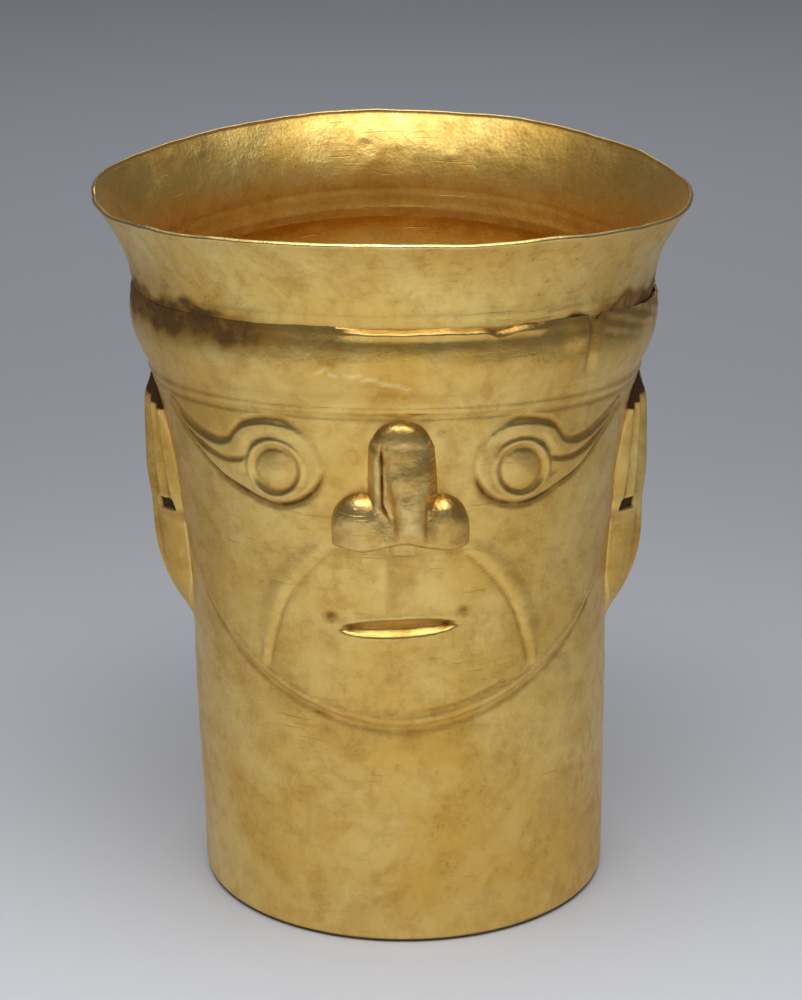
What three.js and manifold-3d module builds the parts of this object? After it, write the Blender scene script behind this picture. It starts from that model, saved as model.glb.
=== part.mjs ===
// A raised gold beaker with a face on each side, standing on its flat base with +Z up.
// The origin is the centre of the base. One face looks along -Y and the other along +Y.
// Lengths are in millimetres. An azimuth is in degrees: 0 is the middle of the -Y face, 90 is +X.
// The head cup is one raised sheet. The flared mouth is a second sheet tucked inside its top edge.
// Each nose and each ear is a hollow pressed sheet that seats on the head cup.

import * as THREE from 'three';
import { mergeVertices } from 'three/addons/utils/BufferGeometryUtils.js';
import Module from 'manifold-3d';

const wasm = await Module();
wasm.setup();

// Sheets and the gap between pieces that touch
const cupSheet = 1.2;
const floorSheet = 1.4;
const collarSheet = 1.0;
const noseSheet = 1.0;
const earSheet = 0.9;
const seatGap = 0.3;
const slopedSheet = 1.4;

// Head cup, stacked upwards from the base
const footRadius = 56.3;
const footEdgeRadius = 2.5;
const headSwell = 2.0;
const neckRadius = 57.2;
const neckLength = 75;
const browRadius = 65.9;
const headLength = 76;
const hemRadius = 66.7;
const hemRise = 1.8;
const hemLength = 2;
const bandRadius = 71.05;
const bandSwellLength = 13.6;
const bandShoulderLength = 8.3;
const creaseBendLength = 2.8;
const creaseRadius = 70.3;

// Flared mouth
const tongueDepth = 6;
const tongueBendDepth = 3.6;
const tongueLip = 0.4;
const ledgeRise = 1.0;
const collarLength = 23;
const flareCurve = 1.55;
const flareStartRadius = 70.4;
const rimRadius = 80.3;

// Hand-made irregularity: the mouth leans towards -X and dips at both sides
const leanAtRim = 3.3;
const sideDip = 4.5;
const dipStartHeight = 60;
const dipRampLength = 90;

// Face, measured down from the brow
const faceRise = 1.0;
const faceSkin = 0.1;
const faceFadeLength = 16;
const chinDrop = 87.4;
const cheekDrop = 37;
const jawFullness = 1.6;
const jawRoundness = 1.7;
const cheekHalfAngle = 74.5;
const templeHalfAngle = 64.5;
const faceEdgeDrop = 0.6;
const faceBead = 0.3;
const faceBeadWidth = 2.4;
const faceBeadShares = [0.92, 0.97, 1];

// Eyes
const eyeAzimuth = 30;
const eyeDrop = 15.4;
const pupilRadius = 5.2;
const pupilShoulderRadius = 4.4;
const pupilFlatRadius = 2.6;
const pupilRise = 0.9;
const pupilShoulderRise = 0.6;
const eyeRingRadius = 8.3;
const eyeRingHalfWidth = 1.3;
const lidHalfWidth = 1.3;
const eyeTailAzimuth = 64;
const eyeTailRise = 13;
const reliefRise = 0.9;
const reliefSink = 0.95;
const ridgeTopShare = 0.45;

// Nose
const noseTopDrop = 0.6;
const noseLength = 35.6;
const bridgeTopHalfWidth = 8.3;
const bridgeLowHalfWidth = 4.8;
const bridgeDomeLength = 6.5;
const bridgeTaperLength = 21.4;
const bridgeFlank = 0.6;
const bridgeRise = 7.6;
const bridgeTipShare = 0.3;
const bridgeRoundness = 3;
const noseTipRise = 9.2;
const nostrilOffset = 10.4;
const nostrilHalfWidth = 6.4;
const nostrilHalfLength = 8.2;
const nostrilRise = 6.2;
const nostrilCentreUp = 5;

// Mouth and cheek ridges
const mouthDrop = 59;
const mouthHalfWidth = 18.4;
const mouthHalfHeight = 2.7;
const mouthCornerPower = 0.8;
const lipHalfWidth = 1.0;
const lipRise = 0.4;
const slitDepth = 0.9;
const slitFloorShare = 0.8;
const slitReach = 3;
const cheekRidgeHalfWidth = 1.5;
const cheekRidgeRise = 1.2;

// Ears
const earTopDrop = 1.5;
const earUpperLength = 29.5;
const earMiddleLength = 26;
const earLobeLength = 18.7;
const earRise = 9.0;
const earEdge = 0.9;
const earFrontGap = 1.4;
const earBackGap = 0.2;
const earNotchDrop = 38.5;
const earNotchHalfLength = 3;
const earTopRounding = 10;
const earTopAzimuth = 77;
const earTipAzimuth = 88.5;
const earLobeFullness = 2.2;
const earTopTaper = 2;
const earLobeTaper = 1.6;

// Facet counts
const turnSegments = 48;
const headRows = 6;
const faceColumns = 16;
const bandRows = 4;
const flareRows = 7;
const footEdgeSteps = 3;
const pupilSegments = 14;
const ringSegments = 16;
const lidSegments = 24;
const mouthSteps = 20;
const cheekRidgeSegments = 7;
const mergeDistance = 1e-4;

// Where the rows and columns of the pressed sheets lie, as shares of their length and width
const faceRowShares = [0, 0.02, 0.06, 0.13, 0.24, 0.4, 0.6, 0.8, 1];
const noseColumnShares = [
  -1, -0.88, -0.72, -0.56, -0.4, -0.26, -0.13, 0, 0.13, 0.26, 0.4, 0.56, 0.72, 0.88, 1,
];
const noseRowShares = [0, 0.03, 0.08, 0.15, 0.28, 0.42, 0.54, 0.62, 0.645, 0.68, 0.74, 0.82, 0.91, 1];
const earColumnShares = [0, 0.12, 0.28, 0.4, 0.52, 0.64, 0.8, 0.92, 1];
const earRowShares = [
  0, 0.04, 0.09, 0.15, 0.22, 0.3, 0.38, 0.46, 0.52, 0.57, 0.66, 0.74, 0.8, 0.86, 0.91, 0.96, 1,
];

// Crest heights of the ear at its columns, as shares of the highest crest
const earUpperShape = [0.15, 0.34, 0.74, 0.6, 0.9, 0.78, 1, 0.82, 0.15];
const earLobeShape = [0.18, 0.5, 0.46, 0.44, 0.5, 0.7, 1, 0.82, 0.15];
const earNotchShape = [0.15, 0.3, 0.3, 0.3, 0.42, 0.66, 0.97, 0.8, 0.15];

const neckTop = neckLength;
const browHeight = neckTop + headLength;
const hemBottom = browHeight + hemRise;
const hemTop = hemBottom + hemLength;
const swellHeight = hemTop + bandSwellLength;
const creaseHeight = swellHeight + bandShoulderLength;
const rimHeight = creaseHeight + seatGap + collarLength;
const noseTop = browHeight - noseTopDrop;
const noseBottom = noseTop - noseLength;
const chinHeight = browHeight - chinDrop;
const frontAzimuth = 0;
const backAzimuth = 180;

// A point at this azimuth, height and radius, on the leaning and dipping vessel
function place(azimuth, height, radius) {
  const angle = THREE.MathUtils.degToRad(azimuth);
  const ramp = THREE.MathUtils.clamp((height - dipStartHeight) / dipRampLength, 0, 1);
  const dip = sideDip * ramp * Math.sin(angle) ** 2;
  const lean = -leanAtRim * (height / rimHeight);
  return new THREE.Vector3(radius * Math.sin(angle) + lean, -radius * Math.cos(angle), height - dip);
}

function steps(count) {
  return Array.from({ length: count + 1 }, (_, index) => index / count);
}

// Radius and height points up the outside of the head cup, above its rounded foot
const headPoints = steps(headRows).map((t) => [
  neckRadius + (browRadius - neckRadius) * t ** headSwell,
  neckTop + headLength * t,
]);
const swellPoints = steps(bandRows).map((t) => [
  hemRadius + (bandRadius - hemRadius) * Math.sin(t * Math.PI / 2),
  hemTop + bandSwellLength * t,
]);
const cupPoints = [
  [footRadius, footEdgeRadius],
  ...headPoints,
  [hemRadius, hemBottom],
  ...swellPoints,
  [bandRadius, creaseHeight - creaseBendLength],
  [creaseRadius, creaseHeight],
];

// Radius of the head cup's outside at a height, straight between its points
function cupRadius(height) {
  for (let index = 1; index < cupPoints.length; index += 1) {
    const [lowRadius, lowHeight] = cupPoints[index - 1];
    const [highRadius, highHeight] = cupPoints[index];
    if (height <= highHeight) {
      const t = Math.max(0, (height - lowHeight) / (highHeight - lowHeight));
      return lowRadius + (highRadius - lowRadius) * t;
    }
  }
  return creaseRadius;
}

// Half angle of the face at a height: round from the chin to the cheek, then narrowing to the temple
function faceHalfAngle(height) {
  const cheekHeight = browHeight - cheekDrop;
  if (height >= cheekHeight) {
    return THREE.MathUtils.lerp(cheekHalfAngle, templeHalfAngle, (height - cheekHeight) / cheekDrop);
  }
  const down = Math.min(1, (cheekHeight - height) / (cheekHeight - chinHeight));
  return cheekHalfAngle * (1 - down ** jawFullness) ** (1 / jawRoundness);
}

// Share of the face's rise at a height: it fades into the wall under the hem
function faceFade(height) {
  return THREE.MathUtils.clamp((browHeight - height) / faceFadeLength, 0, 1);
}

function faceRadius(height) {
  return cupRadius(height) + faceRise * faceFade(height) + faceSkin;
}

// Azimuth of a distance measured round the face at a height
function arcAzimuth(distance, height) {
  return THREE.MathUtils.radToDeg(distance / faceRadius(height));
}

// A closed solid from a geometry whose shared corners are merged
function solidOf(geometry) {
  geometry.deleteAttribute('normal');
  geometry.deleteAttribute('uv');
  const merged = mergeVertices(geometry, mergeDistance);
  const index = merged.index.array;
  const corners = [];
  for (let start = 0; start < index.length; start += 3) {
    const [a, b, c] = [index[start], index[start + 1], index[start + 2]];
    if (a !== b && b !== c && c !== a) corners.push(a, b, c);
  }
  const build = (triVerts) => new wasm.Manifold(new wasm.Mesh({
    numProp: 3,
    vertProperties: new Float32Array(merged.attributes.position.array),
    triVerts: new Uint32Array(triVerts),
  }));
  const solid = build(corners);
  return solid.volume() > 0 ? solid : build(corners.reverse());
}

function geometryOf(solid) {
  const mesh = solid.getMesh();
  const geometry = new THREE.BufferGeometry();
  geometry.setAttribute('position', new THREE.BufferAttribute(new Float32Array(mesh.vertProperties), 3));
  geometry.setIndex(new THREE.BufferAttribute(new Uint32Array(mesh.triVerts), 1));
  geometry.computeVertexNormals();
  return geometry;
}

// A closed profile of radius and height, turned round the axis and set on the leaning vessel
function turned(profile) {
  const points = profile.map(([radius, height]) => new THREE.Vector2(radius, height));
  const geometry = new THREE.LatheGeometry(points, turnSegments);
  const position = geometry.attributes.position;
  for (let index = 0; index < position.count; index += 1) {
    const radius = Math.hypot(position.getX(index), position.getZ(index));
    const azimuth = THREE.MathUtils.radToDeg(Math.atan2(position.getX(index), position.getZ(index)));
    const point = place(azimuth, position.getY(index), radius);
    position.setXYZ(index, point.x, point.y, point.z);
  }
  return solidOf(geometry);
}

// A surface through rows of points: each row is joined to the next, and rows may close on themselves
function skin(rows, rowsClose, columnsClose) {
  const width = rows[0].length;
  const positions = rows.flat().flatMap((point) => [point.x, point.y, point.z]);
  const index = [];
  const lastRow = rowsClose ? rows.length : rows.length - 1;
  const lastColumn = columnsClose ? width : width - 1;
  for (let row = 0; row < lastRow; row += 1) {
    for (let column = 0; column < lastColumn; column += 1) {
      const nextRow = (row + 1) % rows.length;
      const nextColumn = (column + 1) % width;
      const a = row * width + column;
      const b = row * width + nextColumn;
      const c = nextRow * width + nextColumn;
      const d = nextRow * width + column;
      index.push(a, b, c, a, c, d);
    }
  }
  return { positions, index };
}

// A closed sheet between an outer and an inner grid of points of the same size
function sheetBetween(outerRows, innerRows) {
  const loops = outerRows.map((row, index) => [...row, ...innerRows[index].slice().reverse()]);
  const { positions, index } = skin(loops, false, true);
  const width = loops[0].length;
  const half = width / 2;
  for (const row of [0, loops.length - 1]) {
    for (let column = 0; column < half - 1; column += 1) {
      const a = row * width + column;
      const b = a + 1;
      const d = row * width + (width - 1 - column);
      const c = d - 1;
      if (row === 0) index.push(a, c, b, a, d, c);
      else index.push(a, b, c, a, c, d);
    }
  }
  const geometry = new THREE.BufferGeometry();
  geometry.setAttribute('position', new THREE.Float32BufferAttribute(positions, 3));
  geometry.setIndex(index);
  return solidOf(geometry);
}

// A ridge of four-sided section along a path of azimuth and height points on the face
function ridge(middleAzimuth, path, closed, halfWidth, rise) {
  const at = (azimuth, height, lift) => place(middleAzimuth + azimuth, height, faceRadius(height) + lift);
  const rows = path.map(([azimuth, height], index) => {
    const before = path[closed ? (index + path.length - 1) % path.length : Math.max(0, index - 1)];
    const after = path[closed ? (index + 1) % path.length : Math.min(path.length - 1, index + 1)];
    const middle = at(azimuth, height, 0);
    const along = at(after[0], after[1], 0).sub(at(before[0], before[1], 0)).normalize();
    const out = at(azimuth, height, 1).sub(middle).normalize();
    const side = new THREE.Vector3().crossVectors(out, along).normalize();
    const corner = (across, lift) => middle.clone().addScaledVector(side, across).addScaledVector(out, lift);
    return [
      corner(-halfWidth, -reliefSink),
      corner(-halfWidth * ridgeTopShare, rise),
      corner(halfWidth * ridgeTopShare, rise),
      corner(halfWidth, -reliefSink),
    ];
  });
  const { positions, index } = skin(rows, closed, true);
  if (!closed) {
    const last = (rows.length - 1) * 4;
    index.push(0, 3, 2, 0, 2, 1, last, last + 1, last + 2, last, last + 2, last + 3);
  }
  const geometry = new THREE.BufferGeometry();
  geometry.setAttribute('position', new THREE.Float32BufferAttribute(positions, 3));
  geometry.setIndex(index);
  return solidOf(geometry);
}

// Points of a smooth path through azimuth and height points chosen by hand
function smoothPath(points, count, closed) {
  const scale = THREE.MathUtils.degToRad(1) * browRadius;
  const curve = new THREE.CatmullRomCurve3(
    points.map(([azimuth, height]) => new THREE.Vector3(azimuth * scale, height, 0)), closed);
  const spaced = curve.getSpacedPoints(count);
  if (closed) spaced.pop();
  return spaced.map((point) => [point.x / scale, point.y]);
}

function mirrored(path, sign) {
  return path.map(([azimuth, height]) => [azimuth * sign, height]);
}

// The raised face inside its outline, with a bead along its edge
function facePad(middleAzimuth) {
  const [flatShare, beadShare, outlineShare] = faceBeadShares;
  const middleColumns = steps(faceColumns).map((t) => THREE.MathUtils.lerp(-flatShare, flatShare, t));
  const columns = [-outlineShare, -beadShare, ...middleColumns, beadShare, outlineShare];
  const heights = faceRowShares.map((t) => chinHeight + (browHeight - chinHeight) * t);
  const lift = (u, height) => {
    const inward = (1 - Math.abs(u)) * THREE.MathUtils.degToRad(faceHalfAngle(height)) * faceRadius(height);
    const edge = Math.min(inward, height - chinHeight);
    if (edge < faceSkin) return -faceEdgeDrop;
    return edge < faceBeadWidth ? faceBead : 0;
  };
  const grid = (radiusAt) => heights.map((height) => columns.map((u) => (
    place(middleAzimuth + u * faceHalfAngle(height), height, radiusAt(u, height)))));
  const outer = grid((u, height) => faceRadius(height) + lift(u, height) * faceFade(height));
  const inner = grid((u, height) => cupRadius(height) - reliefSink);
  return sheetBetween(outer, inner);
}

function eye(middleAzimuth, sign) {
  const height = browHeight - eyeDrop;
  const lid = smoothPath([
    [28, height + 12.7], [20.5, height + 9], [18.5, height + 1], [19.5, height - 5],
    [24, height - 9], [30.5, height - 9.7], [39, height - 7.2], [50, height - 0.8],
    [eyeTailAzimuth, height + eyeTailRise], [52, height + 6.3], [42.5, height + 5.6], [36.5, height + 10],
  ], lidSegments, true);
  const ring = steps(ringSegments).slice(0, ringSegments).map((t) => {
    const turn = t * 2 * Math.PI;
    const up = height + eyeRingRadius * Math.sin(turn);
    return [sign * eyeAzimuth + arcAzimuth(eyeRingRadius * Math.cos(turn), up), up];
  });
  return [
    pupil(middleAzimuth, sign * eyeAzimuth, height),
    ridge(middleAzimuth, ring, true, eyeRingHalfWidth, reliefRise),
    ridge(middleAzimuth, mirrored(lid, sign), true, lidHalfWidth, reliefRise),
  ];
}

// The low round boss in the middle of an eye
function pupil(middleAzimuth, azimuth, height) {
  const profile = [
    [0, -reliefSink], [pupilRadius, -reliefSink], [pupilShoulderRadius, pupilShoulderRise],
    [pupilFlatRadius, pupilRise], [0, pupilRise],
  ];
  const geometry = new THREE.LatheGeometry(profile.map(([x, y]) => new THREE.Vector2(x, y)), pupilSegments);
  const position = geometry.attributes.position;
  for (let index = 0; index < position.count; index += 1) {
    const up = height + position.getZ(index);
    const across = arcAzimuth(position.getX(index), up);
    const point = place(middleAzimuth + azimuth + across, up, faceRadius(up) + position.getY(index));
    position.setXYZ(index, point.x, point.y, point.z);
  }
  return solidOf(geometry);
}

// The lens-shaped outline of the mouth, this much wider and higher than the slit
function mouthOutline(margin) {
  const height = browHeight - mouthDrop;
  return steps(mouthSteps).slice(0, mouthSteps).map((t) => {
    const turn = t * 2 * Math.PI;
    const up = height + (mouthHalfHeight + margin) * Math.sin(turn);
    const side = Math.sign(Math.cos(turn));
    const across = side * (mouthHalfWidth + margin) * Math.abs(Math.cos(turn)) ** mouthCornerPower;
    return [arcAzimuth(across, up), up];
  });
}

function mouthRim(middleAzimuth) {
  return ridge(middleAzimuth, mouthOutline(lipHalfWidth), true, lipHalfWidth, lipRise);
}

// The slit cut into the face inside the mouth's rim
function mouthSlit(middleAzimuth) {
  const height = browHeight - mouthDrop;
  const layer = (share, lift) => mouthOutline(0).map(([azimuth, up]) => {
    const at = height + (up - height) * share;
    return place(middleAzimuth + azimuth * share, at, faceRadius(at) + lift);
  });
  const outside = layer(1, slitReach);
  const floor = layer(slitFloorShare, -slitDepth);
  const { positions, index } = skin([outside, floor], false, true);
  const middles = [[slitReach, 0], [-slitDepth, 1]];
  for (const [lift, row] of middles) {
    const middle = place(middleAzimuth, height, faceRadius(height) + lift);
    const at = positions.length / 3;
    positions.push(middle.x, middle.y, middle.z);
    for (let column = 0; column < mouthSteps; column += 1) {
      const a = row * mouthSteps + column;
      const b = row * mouthSteps + (column + 1) % mouthSteps;
      index.push(...(row === 0 ? [at, b, a] : [at, a, b]));
    }
  }
  const geometry = new THREE.BufferGeometry();
  geometry.setAttribute('position', new THREE.Float32BufferAttribute(positions, 3));
  geometry.setIndex(index);
  return solidOf(geometry);
}

function cheekRidge(middleAzimuth, sign) {
  const start = noseBottom - cheekRidgeHalfWidth - seatGap * 2;
  const path = smoothPath([
    [18, start], [23.5, start - 4.6], [28.3, start - 10.5], [32, start - 17], [35, start - 25.5],
    [37.5, start - 34],
  ], cheekRidgeSegments, false);
  return ridge(middleAzimuth, mirrored(path, sign), false, cheekRidgeHalfWidth, cheekRidgeRise);
}

function headCup() {
  const arc = steps(footEdgeSteps).map((t) => [
    footRadius - footEdgeRadius * (1 - Math.sin(t * Math.PI / 2)),
    footEdgeRadius * (1 - Math.cos(t * Math.PI / 2)),
  ]);
  const inside = cupPoints.slice(1).map(([radius, height]) => [radius - cupSheet, height]).reverse();
  const insideFoot = [
    [footRadius - cupSheet, floorSheet + footEdgeRadius],
    [footRadius - cupSheet - footEdgeRadius, floorSheet],
  ];
  const profile = [[0, 0], ...arc, ...cupPoints.slice(1), ...inside, ...insideFoot, [0, floorSheet]];
  let solid = turned(profile);
  for (const middle of [frontAzimuth, backAzimuth]) {
    const relief = [facePad(middle), mouthRim(middle)];
    for (const sign of [-1, 1]) relief.push(...eye(middle, sign), cheekRidge(middle, sign));
    for (const piece of relief) solid = solid.add(piece);
    solid = solid.subtract(mouthSlit(middle));
  }
  return solid;
}

function mouthCollar() {
  const tongueRadius = creaseRadius - cupSheet - seatGap;
  const ledgeHeight = creaseHeight + seatGap;
  const flare = steps(flareRows).map((t) => [
    flareStartRadius + (rimRadius - flareStartRadius) * t ** flareCurve,
    ledgeHeight + ledgeRise + (collarLength - ledgeRise) * t,
  ]);
  const outside = [
    [tongueRadius + tongueLip, creaseHeight - tongueDepth],
    [tongueRadius, creaseHeight - tongueBendDepth],
    [tongueRadius, ledgeHeight],
    ...flare,
  ];
  const inside = outside.map(([radius, height]) => [radius - collarSheet, height]).reverse();
  const profile = [...outside, ...inside, outside[0]];
  return turned(profile);
}

// Half width of the nose at a height: the domed bridge above, the nostrils below
function noseHalfWidth(height) {
  const down = THREE.MathUtils.clamp((noseTop - height) / bridgeDomeLength, 0, 1);
  const dome = Math.max(bridgeTipShare, Math.sqrt(1 - (1 - down) ** 2));
  const slope = THREE.MathUtils.clamp((noseTop - bridgeDomeLength - height) / bridgeTaperLength, 0, 1);
  const bridge = dome * THREE.MathUtils.lerp(bridgeTopHalfWidth, bridgeLowHalfWidth, slope);
  const away = (height - noseBottom - nostrilCentreUp) / nostrilHalfLength;
  if (Math.abs(away) >= 1) return bridge;
  return Math.max(bridge, nostrilOffset + nostrilHalfWidth * Math.sqrt(1 - away ** 2));
}

// Height of the nose above the face at a distance round the face and a height
function noseRise(distance, height) {
  const down = THREE.MathUtils.clamp((noseTop - height) / bridgeDomeLength, 0, 1);
  const slope = THREE.MathUtils.clamp((noseTop - bridgeDomeLength - height) / bridgeTaperLength, 0, 1);
  const half = THREE.MathUtils.lerp(bridgeTopHalfWidth, bridgeLowHalfWidth, slope) + bridgeFlank;
  const crest = THREE.MathUtils.lerp(bridgeRise, noseTipRise, (noseTop - height) / noseLength);
  const across = Math.min(1, Math.abs(distance) / half);
  const bridge = crest * Math.sqrt(1 - (1 - down) ** 2) * Math.sqrt(1 - across ** bridgeRoundness);
  const aside = (Math.abs(distance) - nostrilOffset) / nostrilHalfWidth;
  const away = (height - noseBottom - nostrilCentreUp) / nostrilHalfLength;
  const nostril = nostrilRise * Math.sqrt(Math.max(0, 1 - aside ** 2 - away ** 2));
  return Math.max(noseSheet, bridge, nostril);
}

function nose(middleAzimuth) {
  const heights = noseRowShares.map((t) => noseTop - noseLength * t);
  const grid = (liftAt) => heights.map((height) => noseColumnShares.map((u) => {
    const distance = u * noseHalfWidth(height);
    return place(middleAzimuth + arcAzimuth(distance, height), height,
      faceRadius(height) + seatGap + liftAt(distance, height));
  }));
  const outer = grid((distance, height) => noseRise(distance, height));
  const edge = (distance, height) => Math.abs(distance) > noseHalfWidth(height) - noseSheet
    || height > noseTop - noseSheet || height < noseBottom + noseSheet;
  const inner = grid((distance, height) => (
    edge(distance, height) ? 0 : Math.max(0, noseRise(distance, height) - noseSheet * slopedSheet)));
  return sheetBetween(outer, inner);
}

// Height of the ear's highest crest above the cup, at a height up the ear
function earCrest(height) {
  const top = browHeight - earTopDrop;
  const shoulder = top - earUpperLength;
  const lobeTop = shoulder - earMiddleLength;
  if (height > shoulder) return earRise * (1 - ((height - shoulder) / earUpperLength) ** earTopTaper);
  if (height >= lobeTop) return earRise;
  return earRise * (1 - Math.min(1, (lobeTop - height) / earLobeLength) ** earLobeTaper);
}

function ear(middleAzimuth, sign) {
  const top = browHeight - earTopDrop;
  const length = earUpperLength + earMiddleLength + earLobeLength;
  const notch = browHeight - earNotchDrop;
  const heights = earRowShares.map((t) => top - length * t);
  const shapeAt = (height) => {
    if (Math.abs(height - notch) < earNotchHalfLength) return earNotchShape;
    return height > notch ? earUpperShape : earLobeShape;
  };
  const front = (height) => {
    const gap = THREE.MathUtils.radToDeg(earFrontGap / cupRadius(height));
    const face = faceHalfAngle(Math.max(height, notch)) + gap;
    if (height < notch) {
      const down = Math.min(1, (notch - height) / (notch - top + length));
      return THREE.MathUtils.lerp(face, earTipAzimuth, 1 - Math.sqrt(1 - down ** earLobeFullness));
    }
    const rounding = THREE.MathUtils.clamp((height - top + earTopRounding) / earTopRounding, 0, 1);
    return THREE.MathUtils.lerp(face, earTopAzimuth, rounding ** 2);
  };
  const back = (height) => 90 - THREE.MathUtils.radToDeg(earBackGap / cupRadius(height));
  const grid = (liftAt) => heights.map((height) => earColumnShares.map((u, column) => {
    const azimuth = THREE.MathUtils.lerp(front(height), back(height), u);
    return place(middleAzimuth + sign * azimuth, height,
      cupRadius(height) + seatGap + liftAt(column, height));
  }));
  const rise = (column, height) => Math.max(earEdge, earCrest(height) * shapeAt(height)[column]);
  const isEdge = (column, height) => column === 0 || column === earColumnShares.length - 1
    || height > top - earEdge || height < top - length + earEdge;
  const outer = grid((column, height) => rise(column, height));
  const inner = grid((column, height) => (
    isEdge(column, height) ? 0 : Math.max(0, rise(column, height) - earSheet * slopedSheet)));
  return sheetBetween(outer, inner);
}

function finish(color, roughness) {
  return new THREE.MeshStandardMaterial({ color, roughness, metalness: 1 });
}

const group = new THREE.Group();

function addPiece(name, solid, material) {
  const mesh = new THREE.Mesh(geometryOf(solid), material);
  mesh.name = name;
  group.add(mesh);
}

addPiece('head_cup', headCup(), finish(0xd4a94a, 0.38));
addPiece('mouth_collar', mouthCollar(), finish(0xdcb24e, 0.34));
for (const [side, middle] of [['front', frontAzimuth], ['back', backAzimuth]]) {
  addPiece(`${side}_nose`, nose(middle), finish(0xcda24a, 0.36));
  addPiece(`${side}_left_ear`, ear(middle, -1), finish(0xc89c44, 0.4));
  addPiece(`${side}_right_ear`, ear(middle, 1), finish(0xc89c44, 0.4));
}

export default group;
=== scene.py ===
import logging
import math
from dataclasses import asdict, dataclass, field
from enum import Enum

import bpy
import numpy as np
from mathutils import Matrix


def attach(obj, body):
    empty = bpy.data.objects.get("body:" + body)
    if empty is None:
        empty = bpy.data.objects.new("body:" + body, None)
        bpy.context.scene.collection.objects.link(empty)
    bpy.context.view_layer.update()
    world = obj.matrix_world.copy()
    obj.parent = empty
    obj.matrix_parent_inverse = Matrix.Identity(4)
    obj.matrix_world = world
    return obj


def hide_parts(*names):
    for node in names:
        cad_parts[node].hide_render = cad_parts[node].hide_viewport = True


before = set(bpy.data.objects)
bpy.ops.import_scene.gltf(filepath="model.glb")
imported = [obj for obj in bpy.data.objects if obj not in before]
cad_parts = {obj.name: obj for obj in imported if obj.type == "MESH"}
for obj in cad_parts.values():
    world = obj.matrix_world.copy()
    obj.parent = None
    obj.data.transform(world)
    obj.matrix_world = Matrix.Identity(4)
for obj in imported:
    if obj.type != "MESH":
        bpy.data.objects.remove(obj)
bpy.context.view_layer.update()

# A raised gold beaker with a face on each side, dressed around its solids.
# Sizes are in millimetres and azimuths in degrees, as in the solids: 0 is the middle of the -Y face
# and 90 is +X. SheetMesh turns millimetres into metres once, when it makes a mesh.

MM = 0.001
SHARP_DEGREES = 70.0
# Hollows, found by their bend, are darkened as soil and painted shade.
HOLLOW_GAIN, HOLLOW_START = 1.6, 0.06
# Ridges, found by their bend, get a painted highlight; these two numbers scale it.
RIDGE_SHEEN_GAIN, RIDGE_SHEEN_START = 1.3, 0.10
LEAST_WALL = 0.2
PRESSED_WALL = 1.3
LOG = logging.getLogger("beaker")
Array = np.ndarray


class Side(Enum):
    """The two faces, by the azimuth of their middle."""

    FRONT = 0.0
    BACK = 180.0

    @property
    def word(self) -> str:
        """The side's name, as the solids' names have it."""
        return self.name.lower()


class Hand(Enum):
    """Left and right, as seen by someone who looks at a face."""

    LEFT = -1
    RIGHT = 1

    @property
    def word(self) -> str:
        """The hand's name, as the solids' names have it."""
        return self.name.lower()


def smooth_step(low: float, high: float, value: Array) -> Array:
    """Ease from 0 to 1 between two values."""
    share = np.clip((value - low) / (high - low), 0.0, 1.0)
    return share * share * (3.0 - 2.0 * share)


def window(start: float, full: float, fade: float, end: float, value: Array) -> Array:
    """Ease from 0 to 1 and back to 0.

    Args:
        start: Where the result is still 0.
        full: Where it has reached 1.
        fade: Where it starts to fall.
        end: Where it is 0 again.
        value: The values to ease.

    Returns:
        The eased values.
    """
    return smooth_step(start, full, value) * smooth_step(end, fade, value)


def hump(value: Array, middle: float | Array, half_width: float | Array) -> Array:
    """A round-topped rise of height 1 that ends softly on both sides."""
    share = np.clip(np.abs(value - middle) / half_width, 0.0, 1.0)
    return 0.5 + 0.5 * np.cos(math.pi * share)


def soft_greater(first: Array, second: Array, blend: float) -> Array:
    """The greater of two heights, with a fillet where they meet."""
    near = np.clip(0.5 + 0.5 * (first - second) / blend, 0.0, 1.0)
    return second + (first - second) * near + blend * near * (1.0 - near)


def smooth_path(points: list[tuple[float, float]], per_span: int, closed: bool) -> Array:
    """A smooth curve through listed points.

    Args:
        points: The points, two numbers each.
        per_span: How many short lines lie between two points.
        closed: Whether the last point joins the first.

    Returns:
        The points of the curve, one per row.
    """
    known = np.array(points, dtype=float)
    count = len(known)
    spans = count if closed else count - 1
    curve = []
    for span in range(spans):
        if closed:
            before, start, end, after = (known[(span + step) % count] for step in (-1, 0, 1, 2))
        else:
            before, start = known[max(0, span - 1)], known[span]
            end, after = known[span + 1], known[min(count - 1, span + 2)]
        for step in range(per_span):
            t = step / per_span
            curve.append(0.5 * (2.0 * start + (end - before) * t
                                + (2.0 * before - 5.0 * start + 4.0 * end - after) * t ** 2
                                + (3.0 * start - before - 3.0 * end + after) * t ** 3))
    if not closed:
        curve.append(known[-1])
    return np.array(curve)


@dataclass(frozen=True)
class PathReading:
    """Where points lie beside a path.

    Attributes:
        away: Distance to the path, in millimetres.
        left: Positive to the left of the path's direction, negative to its right.
        along: Length of the path up to the nearest place on it, in millimetres.
    """

    away: Array
    left: Array
    along: Array


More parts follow.
